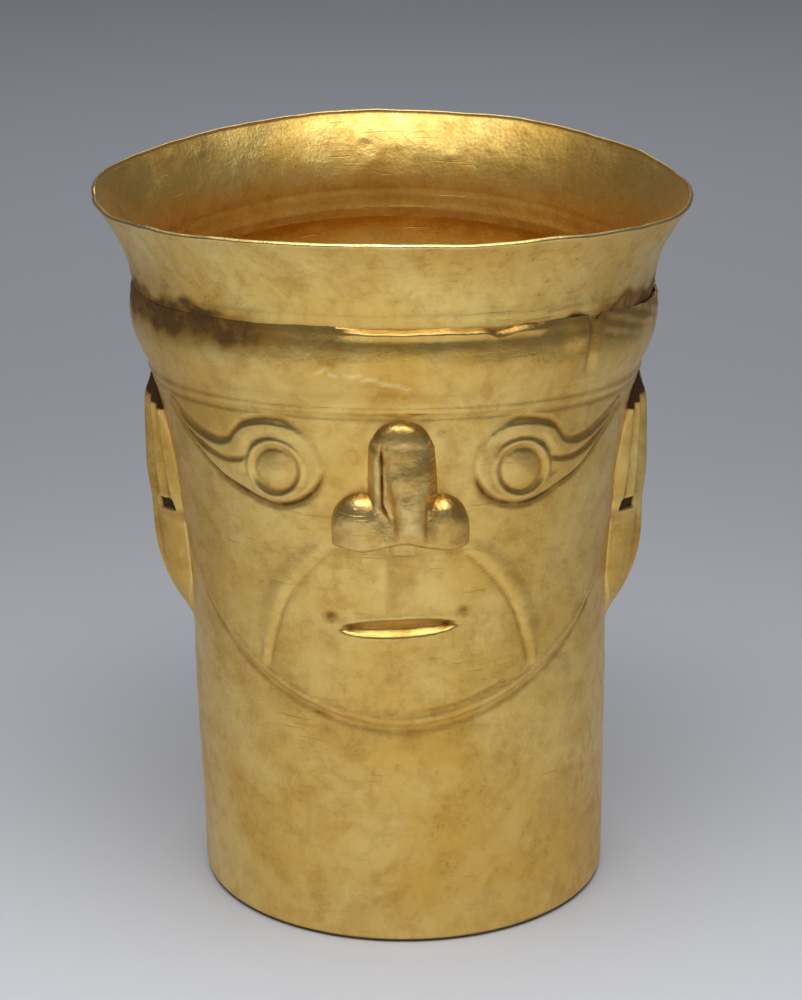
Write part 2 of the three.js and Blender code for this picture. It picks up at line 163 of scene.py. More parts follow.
def read_path(x: Array, y: Array, path: Array, closed: bool) -> PathReading:
    """Measure points against a path.

    Args:
        x: Distance of each point round the vessel.
        y: Height of each point.
        path: The path's own points in the same plane.
        closed: Whether the path ends where it starts.

    Returns:
        The distance, side and length along for each point.
    """
    ends = np.roll(path, -1, axis=0) if closed else path[1:]
    starts = path if closed else path[:-1]
    best = np.full(x.shape, 1e9)
    left = np.zeros(x.shape)
    along = np.zeros(x.shape)
    walked = 0.0
    for (ax, ay), (bx, by) in zip(starts, ends):
        length = math.hypot(bx - ax, by - ay)
        if length < 1e-9:
            continue
        ux, uy = (bx - ax) / length, (by - ay) / length
        reach = np.clip((x - ax) * ux + (y - ay) * uy, 0.0, length)
        dx, dy = x - (ax + ux * reach), y - (ay + uy * reach)
        away = np.hypot(dx, dy)
        nearer = away < best
        best = np.where(nearer, away, best)
        left = np.where(nearer, ux * dy - uy * dx, left)
        along = np.where(nearer, walked + reach, along)
        walked += length
    return PathReading(best, left, along)


def inside_path(x: Array, y: Array, path: Array) -> Array:
    """Tell which points lie inside a closed path."""
    crossed = np.zeros(x.shape, dtype=bool)
    for (ax, ay), (bx, by) in zip(path, np.roll(path, -1, axis=0)):
        if ay == by:
            continue
        between = (ay > y) != (by > y)
        crossed ^= between & (x < (bx - ax) * (y - ay) / (by - ay) + ax)
    return crossed


@dataclass
class SheetMesh:
    """A closed sheet in the making: points in millimetres and the faces between them."""

    points: list[Array] = field(default_factory=list)
    faces: list[tuple[int, ...]] = field(default_factory=list)
    count: int = 0

    def add_ring(self, ring: Array) -> Array:
        """Add a row of points."""
        numbers = np.arange(self.count, self.count + len(ring))
        self.points.append(ring)
        self.count += len(ring)
        return numbers

    def join_equal(self, low: Array, high: Array) -> None:
        """Join two closed rows of as many points with four-sided faces."""
        next_low, next_high = np.roll(low, -1), np.roll(high, -1)
        self.faces.extend(zip(low.tolist(), next_low.tolist(), next_high.tolist(), high.tolist()))

    def join_unequal(self, low: Array, low_turn: Array, high: Array, high_turn: Array) -> None:
        """Join two closed rows of different counts with triangles.

        Args:
            low: Numbers of the lower row.
            low_turn: Azimuths of the lower row, rising.
            high: Numbers of the upper row.
            high_turn: Azimuths of the upper row, rising.
        """
        i = j = 0
        while i < len(low) or j < len(high):
            next_low = low_turn[i + 1] if i + 1 < len(low) else low_turn[0] + 360.0
            next_high = high_turn[j + 1] if j + 1 < len(high) else high_turn[0] + 360.0
            a, d = int(low[i % len(low)]), int(high[j % len(high)])
            if j >= len(high) or (i < len(low) and next_low <= next_high):
                self.faces.append((a, int(low[(i + 1) % len(low)]), d))
                i += 1
            else:
                self.faces.append((a, int(high[(j + 1) % len(high)]), d))
                j += 1

    def close_with_point(self, ring: Array, point: Array, upwards: bool) -> None:
        """Close a row with a fan to one point."""
        middle = int(self.add_ring(point.reshape(1, 3))[0])
        for a, b in zip(ring.tolist(), np.roll(ring, -1).tolist()):
            self.faces.append((a, b, middle) if upwards else (b, a, middle))

    def make(self, name: str) -> bpy.types.Object:
        """Make the object, with its place in its mesh."""
        mesh = bpy.data.meshes.new(name)
        mesh.from_pydata((np.concatenate(self.points) * MM).tolist(), [], self.faces)
        mesh.validate()
        return add_object(name, mesh)


def add_object(name: str, data: bpy.types.ID) -> bpy.types.Object:
    """Put a mesh, a lamp or a camera into the scene as an object at the origin."""
    piece = bpy.data.objects.new(name, data)
    bpy.context.scene.collection.objects.link(piece)
    return piece


def double_wall(outer: Array, inner: Array, kept: Array) -> SheetMesh:
    """Make a closed sheet from an outer and an inner grid of points.

    Args:
        outer: Points of the outer face, rows by columns by three.
        inner: Points of the inner face, of the same shape.
        kept: True for each cell of the grid that is part of the sheet.

    Returns:
        The closed sheet.
    """
    rows, columns = outer.shape[:2]
    used = np.zeros((rows, columns), dtype=bool)
    used[:-1, :-1] |= kept
    used[1:, :-1] |= kept
    used[:-1, 1:] |= kept
    used[1:, 1:] |= kept
    numbers = np.full((rows, columns), -1)
    numbers[used] = np.arange(int(used.sum()))
    half = int(used.sum())
    sheet = SheetMesh()
    sheet.add_ring(outer[used])
    sheet.add_ring(inner[used])
    edges: dict[tuple[int, int], int] = {}
    for row, column in np.argwhere(kept):
        a, b = int(numbers[row, column]), int(numbers[row, column + 1])
        c, d = int(numbers[row + 1, column + 1]), int(numbers[row + 1, column])
        sheet.faces.append((a, b, c, d))
        sheet.faces.append((d + half, c + half, b + half, a + half))
        for start, end in ((a, b), (b, c), (c, d), (d, a)):
            edges[(start, end)] = edges.get((start, end), 0) + 1
    for start, end in edges:
        if (end, start) not in edges:
            sheet.faces.append((end, start, start + half, end + half))
    return sheet


@dataclass(frozen=True)
class VesselForm:
    """The vessel's own shape: its heights, its radii, and how it leans and dips."""

    foot_radius: float = 56.3
    foot_edge: float = 2.5
    neck_radius: float = 57.2
    neck_top: float = 75.0
    brow_radius: float = 65.9
    brow: float = 151.0
    hem_top: float = 154.8
    hem_radius: float = 66.7
    band_radius: float = 71.05
    swell_top: float = 168.4
    crease_radius: float = 70.3
    crease: float = 176.7
    rim: float = 200.0
    rim_radius: float = 80.3
    cup_sheet: float = 1.2
    floor_sheet: float = 1.4
    lean_at_rim: float = 3.3
    side_dip: float = 4.5
    dip_start: float = 60.0
    dip_ramp: float = 90.0

    def radius(self, height: Array) -> Array:
        """Outside radius of the head cup before any relief.

        Args:
            height: Heights above the base.

        Returns:
            The radius at each height.
        """
        z = np.asarray(height, dtype=float)
        neck = self.foot_radius + (self.neck_radius - self.foot_radius) * smooth_step(4.0, 66.0, z)
        head = self.neck_radius + (self.brow_radius - self.neck_radius) * np.clip(
            (z - self.neck_top) / (self.brow - self.neck_top), 0.0, 1.0) ** 2
        result = np.where(z < self.neck_top, neck, head)
        fold = self.brow_radius + (self.hem_radius - self.brow_radius) * smooth_step(
            self.brow + 0.6, self.brow + 2.4, z)
        result = np.where(z > self.brow, fold, result)
        rise = np.clip((z - self.hem_top) / (self.swell_top - self.hem_top), 0.0, 1.0)
        swell = self.hem_radius + (self.band_radius - self.hem_radius) * np.sin(rise * math.pi / 2.0)
        result = np.where(z > self.hem_top, swell, result)
        fall = np.clip((z - self.swell_top - 1.6) / (self.crease - self.swell_top - 1.6), 0.0, 1.0)
        return result - (self.band_radius - self.crease_radius) * fall ** 1.6

    def place(self, azimuth: Array, height: Array, radius: Array) -> Array:
        """Put points on the leaning and dipping vessel."""
        angle = np.radians(azimuth)
        ramp = np.clip((height - self.dip_start) / self.dip_ramp, 0.0, 1.0)
        dip = self.side_dip * ramp * np.sin(angle) ** 2
        lean = -self.lean_at_rim * height / self.rim
        parts = (radius * np.sin(angle) + lean, -radius * np.cos(angle), height - dip)
        return np.stack(np.broadcast_arrays(*parts), axis=-1)

    def read_back(self, points: Array) -> tuple[Array, Array, Array]:
        """Work out azimuth, height and radius from finished points."""
        x = points[:, 0] + self.lean_at_rim * points[:, 2] / self.rim
        azimuth = np.degrees(np.arctan2(x, -points[:, 1]))
        ramp = np.clip((points[:, 2] - self.dip_start) / self.dip_ramp, 0.0, 1.0)
        height = points[:, 2] + self.side_dip * ramp * np.sin(np.radians(azimuth)) ** 2
        return azimuth, height, np.hypot(x, points[:, 1])


FORM = VesselForm()


@dataclass(frozen=True)
class FaceForm:
    """The raised face: its outline, eyes, mouth, cheek ridges and the groove under the nose."""

    rise: float = 1.0
    fade_length: float = 16.0
    chin: float = 63.6
    cheek: float = 114.0
    cheek_angle: float = 74.5
    temple_angle: float = 64.5
    jaw_fullness: float = 1.6
    jaw_roundness: float = 1.7
    edge_width: float = 1.7
    left_eye_azimuth: float = 28.9
    right_eye_azimuth: float = 30.4
    eye_height: float = 135.6
    pupil_radius: float = 6.0
    pupil_rise: float = 0.95
    ring_radius: float = 7.9
    ring_half_width: float = 1.9
    band_rise: float = 0.68
    groove_depth: float = 0.52
    groove_drop: float = 1.15
    tail_tip: float = 73.4
    right_lid_nudge: float = 1.3
    right_lid_gap: float = 47.0
    lid: tuple[tuple[float, float], ...] = (
        (28.0, 12.7), (20.5, 9.0), (17.8, 1.0), (19.5, -5.5), (24.0, -9.3), (30.5, -10.2),
        (39.0, -7.6), (50.0, -0.8), (64.0, 13.0), (52.0, 6.3), (42.5, 5.3), (36.5, 10.4))
    tail_groove: tuple[tuple[float, float], ...] = (
        (35.6, 2.6), (39.0, 1.6), (43.5, 1.5), (50.0, 3.2), (57.0, 7.0), (63.0, 12.2))
    mouth_height: float = 92.0
    lip_half_width: float = 18.7
    lip_half_height: float = 3.5
    slit_half_width: float = 15.4
    slit_half_height: float = 2.6
    slit_depth: float = 1.9
    mouth_tilt: float = 0.9
    mouth_dents: tuple[tuple[float, float], ...] = ((-17.6, 0.82), (17.2, 0.68))
    dent_height: float = 95.8
    dent_radius: float = 2.8
    dent_depth: float = 0.32
    cheek_path: tuple[tuple[float, float], ...] = (
        (15.5, 115.2), (18.5, 112.6), (23.5, 108.1), (28.3, 102.2), (32.0, 95.7), (35.0, 87.2), (37.3, 78.9))
    cheek_ridge_rise: float = 0.60
    cheek_ridge_half_width: float = 1.6
    chin_line: tuple[tuple[float, float], ...] = (
        (-4.0, 68.0), (4.0, 68.3), (12.0, 69.4), (20.0, 71.6), (28.0, 74.6))

    def half_angle(self, height: Array) -> Array:
        """Half angle of the face, round from the chin to the cheek and narrowing to the temple."""
        upper = self.cheek_angle + (self.temple_angle - self.cheek_angle) * (
            (height - self.cheek) / (FORM.brow - self.cheek))
        down = np.clip((self.cheek - height) / (self.cheek - self.chin), 0.0, 1.0)
        lower = self.cheek_angle * (1.0 - down ** self.jaw_fullness) ** (1.0 / self.jaw_roundness)
        return np.where(height >= self.cheek, upper, lower)

    def outline(self) -> Array:
        """The face's outline as distances round the vessel and heights."""
        drop = 0.5 - 0.5 * np.cos(np.linspace(0.0, math.pi, 60))
        heights = FORM.brow + 6.0 - (FORM.brow + 6.0 - self.chin) * drop
        half = np.radians(self.half_angle(heights)) * FORM.radius(heights)
        right = np.stack([half, heights], axis=1)
        left = np.stack([-half[::-1], heights[::-1]], axis=1)[1:]
        return np.concatenate([right, left])

    def to_plane(self, path: tuple[tuple[float, float], ...], hand: Hand,
                 up: float) -> list[tuple[float, float]]:
        """Lay a path of azimuths and heights out flat."""
        laid = []
        for azimuth, height in path:
            radius = float(FORM.radius(height + up))
            laid.append((hand.value * math.radians(azimuth) * radius, height + up))
        return laid


@dataclass
class FaceRelief:
    """Heights, and soil with painted shade, of a face, worked out on the flattened wall."""

    form: FaceForm = field(default_factory=FaceForm)

    def read(self, azimuth: Array, height: Array) -> tuple[Array, Array]:
        """Height of the relief above the plain wall, and the soil and painted shade that sit in it."""
        x = np.radians(azimuth) * FORM.radius(height)
        parts = [self.plate(x, height)]
        for hand in Hand:
            parts += [self.eye(x, height, hand), self.cheek_ridge(x, height, hand)]
        parts += [part(x, height) for part in (self.mouth, self.lip_groove, self.chin_line, self.nose_bed)]
        return sum(rise for rise, _ in parts), np.maximum.reduce([soil for _, soil in parts])

    def plate(self, x: Array, y: Array) -> tuple[Array, Array]:
        """The raised plate of the face with its bead, and the groove round it, darkened under the jaw as
        painted shadow with soil.
        """
        form = self.form
        outline = form.outline()
        reading = read_path(x, y, outline, False)
        inward = np.where(inside_path(x, y, outline), reading.away, -reading.away)
        fade = np.clip((FORM.brow - y) / form.fade_length, 0.0, 1.0)
        side = smooth_step(20.0, 60.0, np.abs(x))
        step = form.rise * smooth_step(-0.5, form.edge_width, inward)
        bead = 0.22 * hump(inward, form.edge_width, 1.5) - 0.30 * hump(inward, -1.1, 1.3) * (1.0 - 0.5 * side)
        below = smooth_step(112.0, 84.0, y)
        patchy = 0.5 + 0.5 * np.sin(0.55 * x + 1.1 * np.sin(0.21 * x))
        # The groove below the cheeks is darkened: painted shadow under the jaw, with soil.
        soil = (0.34 + 0.22 * patchy) * hump(inward, -1.5, 1.7) * below
        return (step + bead) * fade, soil

    def eye(self, x: Array, y: Array, hand: Hand) -> tuple[Array, Array]:
        """One eye: pupil, ring, the teardrop band round it and the chased groove outside."""
        form = self.form
        right = hand is Hand.RIGHT
        rise, soil = np.zeros(x.shape), np.zeros(x.shape)
        turned = form.right_eye_azimuth if right else form.left_eye_azimuth
        centre = hand.value * math.radians(turned) * float(FORM.radius(form.eye_height))
        near = (np.abs(y - form.eye_height) < 24.0) & (x * hand.value > 8.0) & (x * hand.value < 86.0)
        px, py = x[near], y[near]
        from_centre = np.hypot(px - centre, py - form.eye_height)
        px, py = px + 0.22 * np.sin(0.41 * py + hand.value), py + 0.20 * np.sin(0.37 * px + 1.0)
        tail = np.clip((np.abs(px) - abs(centre) - 10.0) / 24.0, 0.0, 1.0)
        if right:
            px = px - form.right_lid_nudge * (1.0 - tail)
        lid = smooth_path(form.to_plane(form.lid, hand, form.eye_height), 6, True)
        inward = self.inward(px, py - 0.9 * (1.0 - tail), lid)
        sunk = self.inward(px, py - form.groove_drop * (1.0 - 0.5 * tail), lid)
        inner_wall = smooth_step(4.6, 3.1, inward)
        filled = smooth_step(abs(centre) + 6.0, abs(centre) + 12.0, np.abs(px))
        inner_wall = inner_wall + (1.0 - inner_wall) * filled
        nose_side = smooth_step(abs(centre) - 0.5, abs(centre) - 7.5, np.abs(px))
        upper = smooth_step(form.eye_height - 6.0, form.eye_height + 2.0, py)
        band = form.band_rise * smooth_step(-0.5 + 0.3 * tail, 0.9 - 0.4 * tail, inward) * inner_wall
        ending = smooth_step(form.tail_tip, form.tail_tip - 4.0, np.abs(px))
        band = band * (1.0 - 0.35 * nose_side * upper) * ending * (1.0 - 0.25 * tail)
        outer_width = 1.2 + 0.9 * (1.0 - upper) * (1.0 - tail) - 0.2 * tail
        wall_width = np.where(sunk < -0.9, outer_width, 1.3 - 0.4 * tail)
        groove = form.groove_depth * hump(sunk, -0.9, wall_width) * (1.0 - 0.45 * tail * upper)
        if right:
            groove = groove * (1.0 - 0.8 * hump(px, form.right_lid_gap, 5.5) * (py > form.eye_height + 2.0))
        groove = groove * (1.0 - 0.9 * nose_side * upper)
        ring = 0.8 * hump(from_centre, form.ring_radius, form.ring_half_width)
        pupil = form.pupil_rise * (1.0 - np.clip(from_centre / form.pupil_radius, 0.0, 1.0) ** 1.6)
        cut = 0.22 * hump(from_centre, form.pupil_radius + 0.1, 0.8)
        inside_ring = smooth_step(form.ring_radius + 1.5, form.ring_radius, from_centre)
        middle = smooth_path(form.to_plane(form.tail_groove, hand, form.eye_height), 8, False)
        along_tail = read_path(px, py, middle, False)
        beside_ring = smooth_step(form.ring_radius + 0.6, form.ring_radius + 3.2, from_centre)
        tail_cut = 0.6 * hump(along_tail.away, 0.0, 1.2) * smooth_step(-0.4, 0.8, inward) * beside_ring
        joined = np.maximum(band * (1.0 - inside_ring), ring)
        rise[near] = joined + pupil - cut - groove - tail_cut
        # The outer groove darkens more along the lower contour, where it is painted shadow with soil.
        soil[near] = np.maximum.reduce([
            (0.20 + 0.16 * tail + 0.48 * (1.0 - upper)) * hump(sunk, -0.8, 1.9),
            0.40 * hump(along_tail.away, 0.0, 1.3) * smooth_step(-0.4, 0.8, inward),
            0.14 * hump(from_centre, form.pupil_radius, 1.2)])
        return rise, soil

    def inward(self, x: Array, y: Array, path: Array) -> Array:
        """Distance inside a closed path, negative outside it."""
        away = read_path(x, y, path, True).away
        return np.where(inside_path(x, y, path), away, -away)

    def mouth(self, x: Array, y: Array) -> tuple[Array, Array]:
        """The mouth: a slit with a steep lower wall inside a low rim, and a dent at each end."""
        form = self.form
        up = y - form.mouth_height - form.mouth_tilt * x / form.lip_half_width
        across = np.clip(np.abs(x) / form.slit_half_width, 0.0, 1.0)
        half = form.slit_half_height * (1.0 - across ** 2.4) ** 0.6
        opening = (np.abs(up) < half) & (np.abs(x) < form.slit_half_width)
        share = np.where(opening, up / np.maximum(half, 1e-6), 1.0)
        depth = form.slit_depth * smooth_step(0.0, 0.6, half / form.slit_half_height)
        lower = np.clip((share + 1.0) / 0.8, 0.0, 1.0)
        upper = np.clip((1.0 - share) / 1.2, 0.0, 1.0)
        pit = np.minimum(lower, upper ** 0.7) * depth * opening
        sideways, upright = np.abs(x) / form.lip_half_width, np.abs(up) / form.lip_half_height
        lip = (sideways ** 2.6 + upright ** 2.6) ** (1.0 / 2.6)
        rise = 0.09 * hump(lip, 0.86, 0.27) - pit
        # The upper part of the slit is darkened as painted shade, with soil.
        soil = 0.5 * np.clip(pit / form.slit_depth, 0.0, 1.0) * (share > -0.1)
        for end, grey in form.mouth_dents:
            up = y - form.dent_height - form.mouth_tilt * np.sign(end)
            dent = hump(np.hypot((x - end) / 1.25, up), 0.0, form.dent_radius)
            rise, soil = rise - form.dent_depth * dent, np.maximum(soil, grey * dent)
        return rise, soil

    def cheek_ridge(self, x: Array, y: Array, hand: Hand) -> tuple[Array, Array]:
        """One cheek ridge: a bevel that faces the mouth, with slanting strokes and a soiled inner edge."""
        form = self.form
        rise, soil = np.zeros(x.shape), np.zeros(x.shape)
        near = (np.abs(y - 96.0) < 24.0) & (x * hand.value > 8.0) & (x * hand.value < 48.0)
        path = smooth_path(form.to_plane(form.cheek_path, hand, 0.0), 8, False)
        reading = read_path(x[near], y[near], path, False)
        length = float(np.sum(np.hypot(*np.diff(path, axis=0).T)))
        outward = np.sign(reading.left) * reading.away * hand.value
        width = form.cheek_ridge_half_width * (0.62 + 0.38 * smooth_step(0.0, 12.0, reading.along))
        ends = smooth_step(0.0, 5.0, reading.along) * smooth_step(length + 0.4, length - 0.5, reading.along)
        reach = 1.8 + 4.2 * smooth_step(length - 0.5, length - 10.0, reading.along)
        flat = window(reach, 0.8, 0.8, -width, outward)
        slant = reading.along - outward * 1.5 + 0.6 * np.sin(reading.along * 0.9)
        strokes = smooth_step(0.55, 0.95, 0.5 + 0.5 * np.sin(slant * 2.0 * math.pi / 4.6))
        strokes = strokes * hump(outward, -0.4, 1.5)
        body = form.cheek_ridge_rise * flat - 0.12 * strokes
        edge = 0.22 * hump(outward, -width - 0.3, 1.0)
        stained = 0.6 if hand is Hand.RIGHT else 0.4
        rise[near] = (body - edge) * ends
        soil[near] = (stained * hump(outward, -width - 0.2, 1.2) + 0.16 * strokes) * ends
        return rise, soil

    def lip_groove(self, x: Array, y: Array) -> tuple[Array, Array]:
        """The shallow upright groove between nose and mouth, stained orange."""
        run = window(95.5, 101.0, 114.0, 118.0, y)
        trough = smooth_step(5.4, 1.8, np.abs(x - 0.4)) * run
        walls = hump(np.abs(x - 0.4), 6.0, 1.8) * run
        stain = smooth_step(5.8, 2.6, np.abs(x - 1.2))
        stain = stain * smooth_step(95.0, 107.0, y) * smooth_step(116.0, 112.0, y)
        spread = 0.22 * smooth_step(15.0, 3.0, np.abs(x - 1.0)) * hump(y, 112.0, 4.0)
        return 0.10 * walls - 0.24 * trough, np.maximum(0.46 * stain, 1.3 * spread)

    def chin_line(self, x: Array, y: Array) -> tuple[Array, Array]:
        """The faint second line above the jaw, filled with soil."""
        path = smooth_path(self.form.to_plane(self.form.chin_line, Hand.RIGHT, 0.0), 6, False)
        rise, soil = np.zeros(x.shape), np.zeros(x.shape)
        near = (np.abs(y - 71.0) < 8.0) & (np.abs(x) < 40.0)
        reading = read_path(x[near], y[near], path, False)
        mark = hump(reading.away, 0.0, 1.3) * smooth_step(-6.0, 12.0, x[near])
        rise[near], soil[near] = -0.18 * mark, 0.56 * mark
        return rise, soil

    def nose_bed(self, x: Array, y: Array) -> tuple[Array, Array]:
        """The wall drawn up towards the nose's flanks, and the soil under the nose."""
        along = window(150.5, 144.0, 121.0, 113.0, y)
        bed = 0.4 * hump(np.abs(x - 1.4), 9.5, 5.5) * along
        under = hump(y, 113.6, 2.4) * smooth_step(20.0, 14.0, np.abs(x - 0.5))
        crown = hump(y, 150.6, 1.6) * smooth_step(11.0, 7.0, np.abs(x - 1.6))
        return bed - 0.15 * under, np.maximum(0.46 * under, 0.34 * crown)


@dataclass(frozen=True)
class NoseForm:
    """Sizes of the nose, measured from the middle line of its own bridge."""

    middle: float = 1.6
    top: float = 150.6
    bottom: float = 115.4
    dome: float = 6.2
    slope_length: float = 25.0
    crest_top: float = 4.5
    crest_tip: float = 9.3
    dome_half_width: float = 7.4
    strip_middle: float = 1.7
    strip_top: float = 6.6
    strip_low: float = 4.3
    base_half_width: float = 9.4
    flank_share: float = 0.52
    lobes: tuple[tuple[float, float, float, float], ...] = (
        (-10.2, 7.8, 6.3, 0.0), (10.2, 6.6, 5.9, -0.6))
    lobe_height: float = 121.8
    lobe_up: float = 8.6
    base_rise: float = 6.3
    base_reach: float = 17.5
    septum_half_width: float = 3.1
    septum_rise: float = 1.0
    sheet: float = 1.0
    sunk: float = 0.45
    foot_wall: float = 0.25
    grid: float = 0.31
    left_end: float = -21.5
    right_end: float = 18.6
    below: float = 3.0
    above: float = 1.0

    def bottom_edge(self, x: Array) -> Array:
        """Height of the wavy lower edge."""
        lobes = 1.0 * hump(x, -10.5, 7.0) + 0.8 * hump(x, 11.5, 5.5)
        return self.bottom - lobes + 1.3 * hump(x, 0.6, 6.5)

    def lobe(self, x: Array, y: Array, middle: float, half_width: float, proud: float, up: float) -> Array:
        """One lobe: steep and rounded above, nearly upright below."""
        above = np.clip((y - self.lobe_height - up) / self.lobe_up, 0.0, None)
        below = np.clip((self.lobe_height + up - y) / 15.0, 0.0, None)
        across = np.abs(x - middle) / half_width
        inner = 1.0 - np.hypot(across, np.where(y > self.lobe_height + up, above, below)) ** 2
        return proud * np.clip(inner, 0.0, None) ** 0.5 - 6.0 * np.clip(-inner, 0.0, 0.6)

    def rise(self, x: Array, y: Array) -> Array:
        """Height of the nose above the face, negative outside its foot.

        Args:
            x: Distance from the bridge's middle line.
            y: Heights before the dip.

        Returns:
            The height of the nose.
        """
        down = np.clip((self.top - y) / self.dome, 0.0, 1.0)
        dome = np.sqrt(np.clip(1.0 - (1.0 - down) ** 2, 0.0, 1.0))
        run = np.clip((self.top - self.dome - y) / self.slope_length, 0.0, 1.0)
        crest = self.crest_top + (self.crest_tip - self.crest_top) * (1.0 - (1.0 - run) ** 1.25)
        crest = crest * dome * (1.0 - 0.18 * smooth_step(121.5, 116.5, y))
        narrow = smooth_step(self.top - 5.0, self.top - 13.0, y)
        taper = smooth_step(self.top - 12.0, 122.0, y)
        half = self.dome_half_width + (self.strip_top - self.dome_half_width) * narrow
        half = (half + (self.strip_low - self.strip_top) * taper) * np.maximum(dome, 0.05)
        offset = (x - self.strip_middle * narrow) / half
        strip = crest * np.clip(1.0 - np.abs(offset) ** 2.3, 0.0, None) ** 0.6
        strip = strip - 3.0 * np.clip(np.abs(offset) - 1.0, 0.0, 1.0)
        foot = smooth_step(self.base_half_width + 0.8, self.base_half_width - 3.4, np.abs(x))
        foot = foot * smooth_step(self.top - 3.5, self.top - 10.5, y - 0.25 * np.abs(x))
        flank = (self.flank_share * crest + 1.6) * foot - 1.6
        total = soft_greater(strip, flank, 0.8)
        blend = 0.8 + 1.8 * smooth_step(125.5, 118.5, y)
        for middle, half_width, proud, up in self.lobes:
            total = soft_greater(total, self.lobe(x, y, middle, half_width, proud, up), blend)
        base = self.base_rise * np.clip(1.0 - (np.abs(x + 0.6) / self.base_reach) ** 4, 0.0, None) ** 0.5
        total = total + (base - total) * 0.85 * smooth_step(125.0, 117.5, y)
        above = np.clip((y - self.bottom_edge(x)) / 2.4, 0.0, 1.0)
        total = np.where(above > 0.0, total * np.sqrt(above * (2.0 - above)), -0.6)
        septum = smooth_step(self.septum_half_width + 1.2, self.septum_half_width - 1.2, np.abs(x - 0.2))
        septum = self.septum_rise * septum * smooth_step(111.6, 113.6, y) * smooth_step(119.0, 118.0, y)
        return np.maximum(total, septum - 0.12)

    def slit(self, x: Array, y: Array) -> Array:
        """Depth of the slit beside the left flank and of the rough seam on the right."""
        run = window(123.0, 128.0, 142.0, 146.5, y)
        bend = -4.9 + 2.4 * smooth_step(131.0, 123.0, y) ** 2
        left = 1.0 * hump(x, bend, 0.52 + 0.10 * np.sin(y * 0.9)) * run
        rough = 0.5 + 0.5 * np.sin(y * 3.1 + 1.7 * np.sin(y * 1.3))
        right = 0.40 * hump(x, 7.6 - 0.06 * (142.0 - y), 1.1) * rough * run
        return left + right


